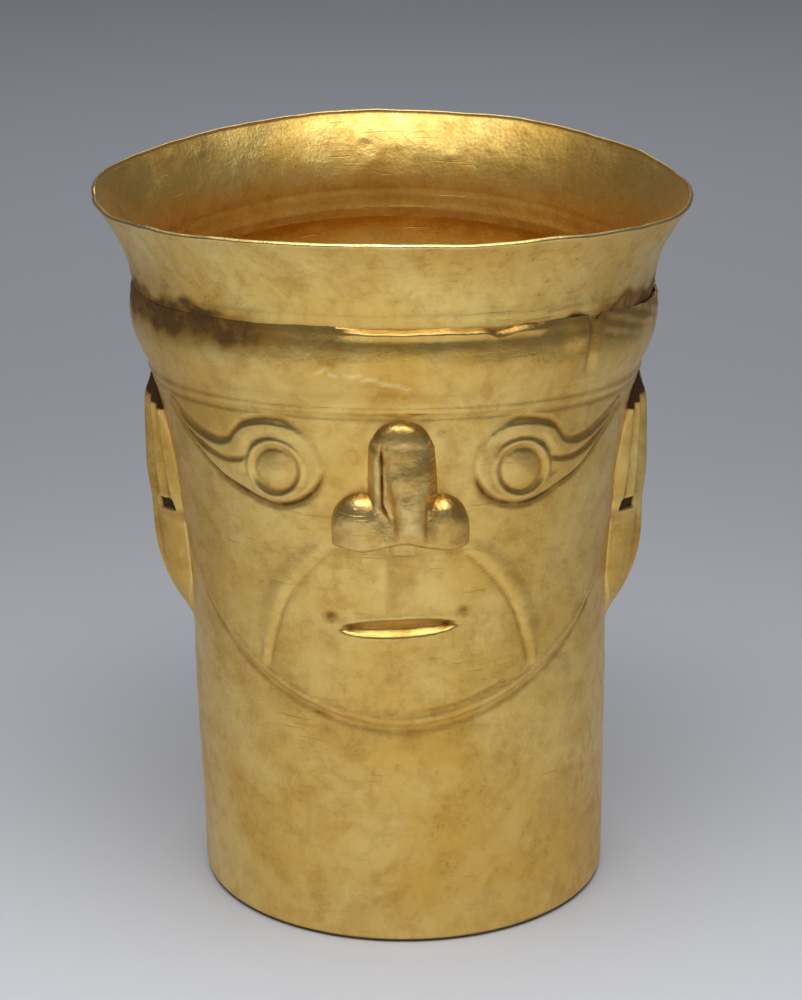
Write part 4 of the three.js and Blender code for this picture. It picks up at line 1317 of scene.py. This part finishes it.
class VesselPiece:
    """A piece of the vessel that stands for one of the solids."""

    node: str = ""
    slot: str = ""
    hammering: Hammering

    def __init__(self, shop: Workshop) -> None:
        """Keep the workshop's tools."""
        self.shop = shop

    def shape(self) -> bpy.types.Object:
        """Build the piece's mesh."""
        raise NotImplementedError

    def finish(self) -> GoldFinish:
        """Say which finish the piece has."""
        raise NotImplementedError

    def hammered(self, piece: bpy.types.Object) -> bpy.types.Object:
        """Planish the piece."""
        return self.shop.planished.apply(piece, **asdict(self.hammering))

    def pressed(self, azimuth: Array, height: Array, outer: Array, inner: Array,
                kept: Array) -> bpy.types.Object:
        """Make a small pressed sheet from the radii of its two walls, and planish it.

        Args:
            azimuth: Degrees round the vessel, rows by columns.
            height: Heights before the dip.
            outer: Radii of the outer wall.
            inner: Radii of the inner wall, before the least thickness is kept.
            kept: True for each cell of the grid that is part of the sheet.

        Returns:
            The planished piece.
        """
        inner = np.minimum(inner, outer - LEAST_WALL)
        walls = (FORM.place(azimuth, height, radius) for radius in (outer, inner))
        return self.hammered(double_wall(*walls, kept).make(f"{self.node}_sheet"))

    def soil_at(self, azimuth: Array, height: Array, radius: Array) -> Array:
        """Soil from 0 to 1 that lies there beside what the hollows hold."""
        return np.zeros(azimuth.shape)

    def shine_at(self, azimuth: Array, height: Array, radius: Array) -> Array:
        """Rubbed places from 0 to 1, on top of the painted highlight that the ridges get, read like soil_at.
        """
        return np.zeros(azimuth.shape)

    def build(self) -> bpy.types.Object:
        """Shape the piece, mark its hollows and ridges, dress it and set it in the frame.

        Returns:
            The finished piece.
        """
        piece = self.shape()
        mesh = piece.data
        self.mark(mesh)
        mesh.materials.clear()
        mesh.materials.append(self.finish().make(self.shop.kit))
        mesh.polygons.foreach_set("material_index", np.zeros(len(mesh.polygons), dtype=np.int32))
        mesh.polygons.foreach_set("use_smooth", np.ones(len(mesh.polygons), dtype=bool))
        mesh.set_sharp_from_angle(angle=math.radians(SHARP_DEGREES))
        mesh.update()
        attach(piece, "root")
        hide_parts(self.node)
        corners = sum(max(0, len(polygon.vertices) - 2) for polygon in mesh.polygons)
        LOG.info("%s: %d points, %d triangles", piece.name, len(mesh.vertices), corners)
        return piece

    def mark(self, mesh: bpy.types.Mesh) -> None:
        """Write the attributes that the finish reads: hollows, darkened as soil and painted shade; rubbed
        scuffs, with a painted highlight on ridges; and soil with painted shade.

        Args:
            mesh: The piece's mesh.
        """
        points = point_array(mesh)
        bend = bending(mesh, points, 3)
        azimuth, height, radius = FORM.read_back(points)
        marks = {
            "hollow": bend * HOLLOW_GAIN - HOLLOW_START,
            # Ridges get a painted highlight from their bend; the scuffs from shine_at are real wear.
            "scuff_and_sheen": np.maximum(-bend * RIDGE_SHEEN_GAIN - RIDGE_SHEEN_START, self.shine_at(azimuth, height, radius)),
            "soil": self.soil_at(azimuth, height, radius),
        }
        for name, values in marks.items():
            layer = mesh.attributes.new(name, "FLOAT", "POINT")
            layer.data.foreach_set("value", np.clip(values, 0.0, 1.0).astype(np.float32))


def face_azimuth(azimuth: Array) -> tuple[Array, Array]:
    """Azimuth from the nearer face's middle, and which face that is."""
    turned = (np.asarray(azimuth, dtype=float) + 180.0) % 360.0 - 180.0
    back = np.abs(turned) > 90.0
    from_back = (turned + 360.0) % 360.0 - 180.0
    return np.where(back, from_back, turned), back


class HeadCup(VesselPiece):
    """The raised head: neck, two faces, hem and band, in one sheet with its floor."""

    node = "head_cup"
    slot = "gold_cup"
    hammering = Hammering(
        mark_size=0.0085, mark_depth=0.00020, waver_size=0.035, waver_depth=0.0006, seed=3,
        dent_density=900.0, dent_radius=0.0026, dent_depth=0.00014, still_below=0.003, still_above=0.166)
    scuffs: tuple[tuple[float, float, float, float], ...] = (
        (-15.0, 164.9, 1.6, 0.5), (-12.5, 163.3, 1.4, -0.6), (-8.5, 163.8, 2.6, -0.08),
        (-5.0, 162.4, 2.2, 0.10), (-1.0, 161.4, 2.8, -0.30), (2.0, 160.0, 1.8, -0.45))
    face_low: float = 58.0
    face_high: float = 153.5
    band_low: float = 148.0
    fold_rise: float = 1.2
    base_rings: tuple[float, ...] = (20.0, 40.0)
    foot_steps: int = 5
    lip_rows: tuple[tuple[float, float], ...] = (
        (1.60, 0.0), (1.20, 0.20), (0.80, 0.46), (0.40, 0.73), (0.0, 1.0))
    tuck_rows: tuple[tuple[float, float], ...] = ((-0.02, 0.55), (0.9, 0.85), (2.2, 1.25), (5.0, 1.25))
    floor_rings: tuple[float, ...] = (52.6, 36.0, 18.0)
    inner_wall_gap: float = 0.55
    columns: tuple[tuple[int, int, int], ...] = (
        (40, 18, 34), (76, 44, 18), (120, 24, 22), (56, 28, 42), (24, 12, 24))

    def __init__(self, shop: Workshop) -> None:
        """Set up the relief."""
        super().__init__(shop)
        self.relief = FaceRelief(FACE)

    def finish(self) -> GoldFinish:
        """Satin gold with soil in its creases."""
        return GoldFinish("cup_gold")

    def edge_height(self, azimuth: Array) -> Array:
        """Height of the band's torn upper edge, which only wavers downwards."""
        near, back = face_azimuth(azimuth)
        turn = np.radians(azimuth)
        waver = 0.25 * (1.0 + np.sin(5.0 * turn + 0.6)) * 0.5 + 0.3 * (1.0 + np.sin(13.0 * turn + 2.0)) * 0.5
        fray = 0.25 * (1.0 + np.sin(41.0 * turn) * np.sin(17.0 * turn + 1.0)) * 0.5
        step = 1.2 * smooth_step(19.5, 21.5, near) * smooth_step(27.0, 23.0, near)
        wedge = 2.2 * smooth_step(47.0, 76.0, near) * smooth_step(96.0, 88.0, near)
        fold = 1.7 * hump(near, 47.4, 2.2)
        return FORM.crease - 0.3 - waver - fray - (step + wedge + fold) * ~back

    def band_relief(self, azimuth: Array, height: Array) -> tuple[Array, Array]:
        """Hem lines, the lap, fold and scuffs of the front, and the soil and painted shade on the shoulder
        under the collar.

        Args:
            azimuth: Degrees round the vessel.
            height: Heights before the dip.

        Returns:
            The relief in millimetres and the soil with painted shade from 0 to 1.
        """
        near, back = face_azimuth(azimuth)
        here = np.where(back, 0.0, 1.0)
        hem = 0.12 * hump(height, 153.1, 1.3) - 0.19 * hump(height, 151.4, 1.2)
        second = 0.07 * hump(height, 158.6, 1.3) - 0.10 * hump(height, 157.2, 1.2)
        tucked = -0.40 * smooth_step(169.0, 176.0, height)
        lip_size = 0.16 + 0.80 * smooth_step(-12.0, -6.0, near) * smooth_step(34.0, 30.0, near) * here
        lip = lip_size * smooth_step(172.6, 174.6, height)
        rising = 0.7 * hump(near, 28.5, 5.0) * smooth_step(173.6, 175.8, height) * here
        lap = 1.1 * hump(near, 41.5, 4.2) * smooth_step(166.5, 172.0, height) * here
        fold = self.fold_rise * hump(near, 45.9 + 0.10 * (height - 170.0), 1.6)
        fold = fold * smooth_step(158.0, 165.0, height) * here
        crumple = np.sin(0.9 * near + 0.7 * height) * np.sin(0.37 * near - 0.9 * height + 1.0)
        crumple = 0.28 * crumple * smooth_step(46.0, 52.0, near) * smooth_step(167.0, 171.0, height) * here
        sag = 0.5 * hump(near, 60.0, 12.0) * smooth_step(164.0, 171.0, height) * here
        scuffs = 0.12 * self.scuffed(azimuth, height)
        rise = hem + second + tucked + lip + rising + lap + crumple - fold - sag + scuffs
        # left and right paint the shade under the collar on the shoulder, left with soil as well; the term at
        # 49.7 paints the shade beneath the collar behind the fold, and the last term a faint shade just under
        # the crease.
        ragged = 0.8 * np.sin(0.31 * near) + 0.6 * np.sin(0.83 * near + 1.0)
        left = smooth_step(12.0, 36.0, -near) * smooth_step(166.6, 172.0, height + ragged)
        right = smooth_step(10.0, 30.0, near) * smooth_step(168.0, 172.0, height + ragged)
        soil = np.maximum.reduce([
            0.22 * hump(height, 151.5, 1.3), 0.14 * hump(height, 157.2, 1.3), 0.50 * fold / self.fold_rise,
            0.75 * hump(near, 49.7, 3.6) * smooth_step(171.5, 174.5, height) * here,
            0.95 * left, 0.32 * right * here, 0.10 * smooth_step(170.0, 174.0, height)])
        return rise, soil

    def scuffed(self, azimuth: Array, height: Array) -> Array:
        """Where the pale scuffs of the front lie on the band."""
        near, back = face_azimuth(azimuth)
        marks = np.zeros(near.shape)
        for middle, level, length, slope in self.scuffs:
            off = height - level - slope * (near - middle) - 0.3 * np.sin(0.9 * near)
            marks = marks + hump(off, 0.0, 0.9) * hump(near, middle, length) ** 0.5 * ~back
        return marks

    def shine_at(self, azimuth: Array, height: Array, radius: Array) -> Array:
        """The scuffs shine."""
        return 1.5 * self.scuffed(azimuth, height)

    def surface(self, azimuth: Array, height: Array) -> tuple[Array, Array]:
        """Outside radius with the relief, and the soil and painted shade in it.

        Args:
            azimuth: Degrees round the vessel.
            height: Heights before the dip.

        Returns:
            The radius and the soil with painted shade.
        """
        azimuth, height = (np.array(values) for values in np.broadcast_arrays(azimuth, height))
        near, _ = face_azimuth(azimuth)
        relief, soil = np.zeros(near.shape), np.zeros(near.shape)
        zone = (height > self.face_low) & (height < self.face_high)
        relief[zone], soil[zone] = self.relief.read(near[zone], height[zone])
        band, soil_and_shade = self.band_relief(azimuth, height)
        upper = height > self.band_low
        relief = relief + np.where(upper, band, 0.0)
        soil = np.where(upper, np.maximum(soil, soil_and_shade), soil)
        return FORM.radius(height) + relief, soil

    def soil_at(self, azimuth: Array, height: Array, radius: Array) -> Array:
        """Soil and painted shade of the relief outside, painted shade on the band beside the ears' tops, and
        a warm darkening inside that grows towards the bottom.
        """
        _, soil = self.surface(azimuth, height)
        outside = radius > FORM.radius(height) - 0.75
        # Painted shade where the band meets the tops of the ears.
        shade_beside_ears = 0.5 * hump(np.abs(face_azimuth(azimuth)[0]), 79.0, 6.0) * smooth_step(
            141.0, 149.0, height) * smooth_step(153.0, 151.0, height)
        inside = 0.16 + 0.20 * smooth_step(30.0, 0.0, height)
        return np.where(outside, np.maximum(soil, shade_beside_ears), inside)

    def turns(self, cheek: int, middle: int, beside: int) -> Array:
        """Azimuths of a row, spaced by what lies on each stretch."""
        stretches = ((-67.0, -13.0, cheek), (-13.0, 13.0, middle), (13.0, 67.0, cheek), (67.0, 113.0, beside))
        parts = [np.linspace(low, high, count, endpoint=False) for low, high, count in stretches]
        half = np.concatenate(parts)
        return np.concatenate([half, half + 180.0])

    def shape(self) -> bpy.types.Object:
        """Stack the rows from the middle of the base, up outside and down inside."""
        sheet = SheetMesh()
        plain, lower, upper, band, inner = (self.turns(*counts) for counts in self.columns)
        rows: list[tuple[Array, Array]] = []
        for radius in (*self.base_rings, FORM.foot_radius - FORM.foot_edge):
            rows.append((plain, FORM.place(plain, 0.0, radius)))
        for step in range(1, self.foot_steps + 1):
            angle = step / self.foot_steps * math.pi / 2.0
            radius = FORM.foot_radius - FORM.foot_edge * (1.0 - math.sin(angle))
            rows.append((plain, FORM.place(plain, FORM.foot_edge * (1.0 - math.cos(angle)), radius)))
        zones = (
            (plain, np.arange(5.0, 61.0, 3.0)),
            (lower, np.concatenate([np.arange(61.6, 86.5, 0.9), np.arange(86.5, 98.0, 0.45),
                                    np.arange(98.0, 121.0, 1.0)])),
            (upper, np.concatenate([np.arange(121.6, 151.0, 0.52), np.arange(151.0, 152.6, 0.7)])),
            (band, np.concatenate([np.arange(153.2, 158.0, 0.9), np.arange(158.6, 174.6, 0.66)])),
        )
        top = self.edge_height(band)
        begin = np.minimum(174.4, top - 2.0)
        for turns, heights in zones:
            for height in heights:
                level = height
                if turns is band:
                    level = level + (begin - 175.0) * np.clip((height - 162.0) / 12.4, 0.0, 1.0)
                rows.append((turns, FORM.place(turns, level, self.surface(turns, level)[0])))
        near, back = face_azimuth(band)
        bright = window(-12.0, -6.0, 31.0, 33.0, near) * ~back
        ragged = 0.9 + 0.1 * np.sin(0.7 * near) * np.sin(0.31 * near + 1.0)
        round_off = 0.10 + 1.55 * bright * ragged
        for height, share in ((begin, 0.0), *((top - below, share) for below, share in self.lip_rows)):
            outer, _ = self.surface(band, height)
            rows.append((band, FORM.place(band, height, outer - round_off * share)))
        for drop, thickness in self.tuck_rows:
            outer, _ = self.surface(band, top - max(drop, 0.0))
            rows.append((band, FORM.place(band, top - drop, outer - np.maximum(thickness, round_off + 0.3))))
        for height in np.concatenate([np.arange(166.0, 4.2, -4.0), [3.9]]):
            reach = np.min([self.surface(inner, height + shift)[0] for shift in (-2.0, 0.0, 2.0)], axis=0)
            radius = np.minimum(FORM.radius(height) - FORM.cup_sheet, reach - self.inner_wall_gap)
            rows.append((inner, FORM.place(inner, height, radius)))
        rows.append((inner, FORM.place(inner, 2.0, 54.0)))
        rows.extend((inner, FORM.place(inner, FORM.floor_sheet, radius)) for radius in self.floor_rings)
        numbers = [sheet.add_ring(points) for _, points in rows]
        for (low_turns, _), (high_turns, _), low, high in zip(rows, rows[1:], numbers, numbers[1:]):
            if len(low) == len(high):
                sheet.join_equal(low, high)
            else:
                sheet.join_unequal(low, low_turns, high, high_turns)
        sheet.close_with_point(numbers[0], np.array([0.0, 0.0, 0.0]), False)
        sheet.close_with_point(numbers[-1], np.array([0.0, 0.0, FORM.floor_sheet]), True)
        return self.hammered(sheet.make("head_cup_sheet"))


class MouthCollar(VesselPiece):
    """The flared mouth, tucked into the band."""

    node = "mouth_collar"
    slot = "gold_collar"
    hammering = Hammering(
        mark_size=0.0105, mark_depth=0.0003, waver_size=0.03, waver_depth=0.0006, seed=8,
        dent_density=2600.0, dent_radius=0.0022, dent_depth=0.00016, still_below=0.1745)
    form = CollarForm()

    def finish(self) -> GoldFinish:
        """Paler and a little brighter gold, with more scratches."""
        return GoldFinish("collar_gold", pale=(0.92, 0.68, 0.225, 1.0), deep=(0.83, 0.52, 0.115, 1.0),
                          roughness=0.37, stain_amount=0.60, flecks=1.0, cloud_scale=32.0)

    def soil_at(self, azimuth: Array, height: Array, radius: Array) -> Array:
        """Painted shade on the tongue under the band and, with soil, along the foot beside the face; darker
        lower in the mouth.
        """
        near, _ = face_azimuth(azimuth)
        beside = smooth_step(18.0, 45.0, -near) + smooth_step(44.0, 52.0, near)
        ragged = 0.9 * np.sin(0.29 * azimuth) + 0.7 * np.sin(0.71 * azimuth + 1.0)
        # The tongue and the foot beside the face are darkened as painted shade under the band's edge, with
        # some soil.
        tongue = 0.9 * beside * smooth_step(181.0, 177.6, height + ragged)
        tongue = np.maximum(tongue, (0.7 + 0.3 * beside) * smooth_step(176.4, 175.2, height))
        section = self.form.section()
        outer = section[:len(section) // 2]
        middle = np.interp(height, outer[:, 1], outer[:, 0]) - self.form.sheet / 2.0
        inside = radius < middle
        low = inside * (0.12 + 0.30 * smooth_step(194.0, 181.0, height))
        return np.maximum(tongue * ~inside, low)

    def curl(self, mesh: bpy.types.Mesh) -> None:
        """Bend the small curl at the left end of the rim."""
        points = point_array(mesh)
        azimuth, height, _ = FORM.read_back(points)
        form = self.form
        strength = hump(azimuth, form.curl_azimuth, form.curl_half_angle) * smooth_step(196.0, 199.5, height)
        points[:, 2] -= form.curl_drop * strength
        points[:, 0] += form.curl_shift * strength
        move_points(mesh, points)

    def shape(self) -> bpy.types.Object:
        """Turn the section, then planish it."""
        section = self.form.section() * MM
        mesh = bpy.data.meshes.new("mouth_section")
        points = [(radius, 0.0, height) for radius, height in section]
        count = len(points)
        mesh.from_pydata(points, [(index, (index + 1) % count) for index in range(count)], [])
        piece = add_object("mouth_collar_sheet", mesh)
        piece = self.shop.turned.apply(
            piece, columns=self.form.columns + 1, rows=self.form.rows + 1, lean=FORM.lean_at_rim * MM,
            rim_height=FORM.rim * MM, dip=FORM.side_dip * MM, waver_from=(FORM.crease + 3.0) * MM,
            radius_waver=self.form.radius_waver, height_waver=self.form.height_waver,
            facet_count=self.form.facet_count, seed=2.0)
        turn_outwards(piece.data)
        self.curl(piece.data)
        return self.hammered(piece)


def move_points(mesh: bpy.types.Mesh, points: Array) -> None:
    """Put a mesh's points where they are wanted."""
    mesh.vertices.foreach_set("co", (points * MM).ravel())
    mesh.update()


def turn_outwards(mesh: bpy.types.Mesh) -> None:
    """Flip a closed mesh whose faces look inwards."""
    points = point_array(mesh)
    mesh.calc_loop_triangles()
    corners = np.empty(len(mesh.loop_triangles) * 3, dtype=np.int64)
    mesh.loop_triangles.foreach_get("vertices", corners)
    a, b, c = (points[corners.reshape(-1, 3)[:, index]] for index in range(3))
    if np.einsum("ij,ij->i", a, np.cross(b, c)).sum() < 0.0:
        mesh.flip_normals()


class Nose(VesselPiece):
    """One nose: a pressed sheet with a domed bridge and two lobes."""

    slot = "gold_nose"
    hammering = Hammering(mark_size=0.0040, mark_depth=0.00034, waver_size=0.007, waver_depth=0.0009, seed=5)
    form = NoseForm()

    def __init__(self, shop: Workshop, side: Side, cup: HeadCup) -> None:
        """Keep the face that the nose sits on."""
        super().__init__(shop)
        self.side = side
        self.cup = cup
        self.node = f"{side.word}_nose"

    def finish(self) -> GoldFinish:
        """Smoother gold, darker than the face."""
        return GoldFinish(f"{self.node}_gold", pale=(0.88, 0.63, 0.220, 1.0), deep=(0.74, 0.46, 0.110, 1.0),
                          roughness=0.38, stain_amount=0.60, cloud_scale=60.0, bump=0.00050)

    def soil_at(self, azimuth: Array, height: Array, radius: Array) -> Array:
        """Soil round the foot of the nose and in its slit."""
        near, _ = face_azimuth(azimuth)
        x = np.radians(near) * FORM.radius(height) - self.form.middle
        rise = self.form.rise(x, height)
        foot = 0.34 * smooth_step(1.0, 0.0, rise)
        return np.maximum(foot, 0.8 * np.clip(self.form.slit(x, height) / 1.6, 0.0, 1.0))

    def shape(self) -> bpy.types.Object:
        """Press the nose's height field and its hollow back."""
        form = self.form
        x = np.arange(form.left_end, form.right_end, form.grid)
        x, y = np.meshgrid(x, np.arange(form.bottom - form.below, form.top + form.above, form.grid))
        rise = form.rise(x, y)
        kept = np.maximum.reduce([rise[:-1, :-1], rise[1:, :-1], rise[:-1, 1:], rise[1:, 1:]]) > 0.05
        azimuth = np.degrees((x + form.middle) / FORM.radius(y)) + self.side.value
        base, _ = self.cup.surface(azimuth, y)
        raised = np.maximum(rise - form.slit(x, y), -form.sunk)
        outer = base + np.where(rise > 0.0, raised, -form.sunk)
        inner = np.maximum(outer - form.sheet * PRESSED_WALL, base - form.sunk - form.foot_wall)
        return self.pressed(azimuth, y, outer, inner, kept)


class Ear(VesselPiece):
    """One ear: three ridges over a hanging lobe."""

    slot = "gold_ear"
    form = EarForm()

    def __init__(self, shop: Workshop, side: Side, hand: Hand) -> None:
        """Say which ear this is."""
        super().__init__(shop)
        self.side = side
        self.hand = hand
        self.node = f"{side.word}_{hand.word}_ear"
        self.hammering = Hammering(mark_size=0.006, mark_depth=0.00012, waver_size=0.014, waver_depth=0.0003,
                                   seed=11 + hand.value)

    def finish(self) -> GoldFinish:
        """Warmer gold, whose dark soil colour also paints the shade at the top and in the notch."""
        return GoldFinish(f"{self.node}_gold", pale=(0.86, 0.60, 0.185, 1.0), deep=(0.75, 0.45, 0.090, 1.0),
                          soil=(0.080, 0.040, 0.012, 1.0), roughness=0.36, soil_amount=1.1)

    def soil_at(self, azimuth: Array, height: Array, radius: Array) -> Array:
        """Soil and painted shade at the ear's top, in its notch and between its ridges, and darkening along
        its edges.
        """
        near, _ = face_azimuth(azimuth)
        front, back = self.form.front(height), self.form.back(height)
        share = np.clip((np.abs(near) - front) / np.maximum(back - front, 0.2), 0.0, 1.0)
        return self.form.rise_at(share, height)[1]

    def shape(self) -> bpy.types.Object:
        """Press the ear's grid of heights and its hollow back."""
        form = self.form
        level = form.bottom + (form.top - form.bottom) * np.linspace(0.0, 1.0, form.rows)
        share = np.linspace(0.0, 1.0, form.columns)
        share, height = np.meshgrid(share, level)
        front, back = form.front(height), form.back(height)
        azimuth = front + (back - front) * share
        rise, _ = form.rise_at(share, height)
        base = FORM.radius(height)
        turned = self.side.value + self.hand.value * azimuth
        edge = np.zeros(rise.shape, dtype=bool)
        edge[[0, -1], :] = True
        edge[:, [0, -1]] = True
        outer = base + rise
        wall = np.maximum(outer - form.sheet * PRESSED_WALL, base - form.foot)
        inner = np.where(edge, base - form.foot, wall)
        grids = (turned, height, outer, inner)
        if self.hand is Hand.LEFT:
            grids = tuple(grid[:, ::-1] for grid in grids)
        return self.pressed(*grids, np.ones((form.rows - 1, form.columns - 1), dtype=bool))


@dataclass(frozen=True)
class Softbox:
    """A square lamp that looks straight down: watts, metres, and the angle of its light in degrees."""

    name: str
    energy: float
    place: tuple[float, float, float]
    size: float
    spread: float

    def hang(self) -> None:
        """Put the lamp into the scene."""
        light = bpy.data.lights.new(self.name, "AREA")
        light.shape = "SQUARE"
        light.size = self.size
        light.energy = self.energy
        light.spread = math.radians(self.spread)
        add_object(self.name, light).location = self.place


@dataclass(frozen=True)
class Studio:
    """A pale floor, a near softbox, a wide one above, a weak light behind and a dim surround."""

    floor_half_size: float = 4.0
    floor_colour: Colour = (0.55, 0.57, 0.605, 1.0)
    floor_roughness: float = 0.7
    softboxes: tuple[Softbox, ...] = (
        Softbox("key_softbox", energy=2.8, place=(-0.02, -0.44, 0.77), size=0.7, spread=88.0),
        Softbox("top_softbox", energy=5.0, place=(0.0, 0.05, 1.2), size=1.5, spread=180.0),
        Softbox("back_softbox", energy=2.4, place=(0.0, 0.85, 1.0), size=1.0, spread=180.0))
    surround: Colour = (0.098, 0.098, 0.118, 1.0)
    lens: float = 109.23
    sensor: float = 36.0
    camera_place: tuple[float, float, float] = (-0.00086, -0.7909, 0.3803)
    camera_tilt: float = 70.94

    def build(self) -> None:
        """Set up the floor, lamps, surround, camera and view."""
        self.floor()
        for softbox in self.softboxes:
            softbox.hang()
        world = bpy.data.worlds.new("surround")
        world.use_nodes = True
        world.node_tree.nodes["Background"].inputs["Color"].default_value = self.surround
        bpy.context.scene.world = world
        self.camera()
        bpy.context.scene.view_settings.view_transform = "Standard"

    def floor(self) -> None:
        """Lay the pale floor that the beaker stands on."""
        half = self.floor_half_size
        mesh = bpy.data.meshes.new("studio_floor")
        mesh.from_pydata([(-half, -half, 0.0), (half, -half, 0.0), (half, half, 0.0), (-half, half, 0.0)],
                         [], [(0, 1, 2, 3)])
        floor = add_object("studio_floor", mesh)
        material = bpy.data.materials.new("studio_floor_paper")
        material.use_nodes = True
        shader = material.node_tree.nodes["Principled BSDF"]
        shader.inputs["Base Color"].default_value = self.floor_colour
        shader.inputs["Roughness"].default_value = self.floor_roughness
        mesh.materials.append(material)

    def camera(self) -> None:
        """Stand the camera where the photograph was taken from."""
        data = bpy.data.cameras.new("photo_camera")
        data.lens = self.lens
        data.sensor_width = self.sensor
        camera = add_object("photo_camera", data)
        camera.location = self.camera_place
        camera.rotation_euler = (math.radians(self.camera_tilt), 0.0, 0.0)
        bpy.context.scene.camera = camera


def main() -> None:
    """Build the beaker and its studio."""
    logging.basicConfig(level=logging.INFO, format="%(name)s: %(message)s")
    shop = Workshop()
    Studio().build()
    cup = HeadCup(shop)
    pieces: list[VesselPiece] = [cup, MouthCollar(shop)]
    for side in Side:
        pieces.append(Nose(shop, side, cup))
        pieces.extend(Ear(shop, side, hand) for hand in Hand)
    for piece in pieces:
        piece.build()


if __name__ == "__main__":
    main()
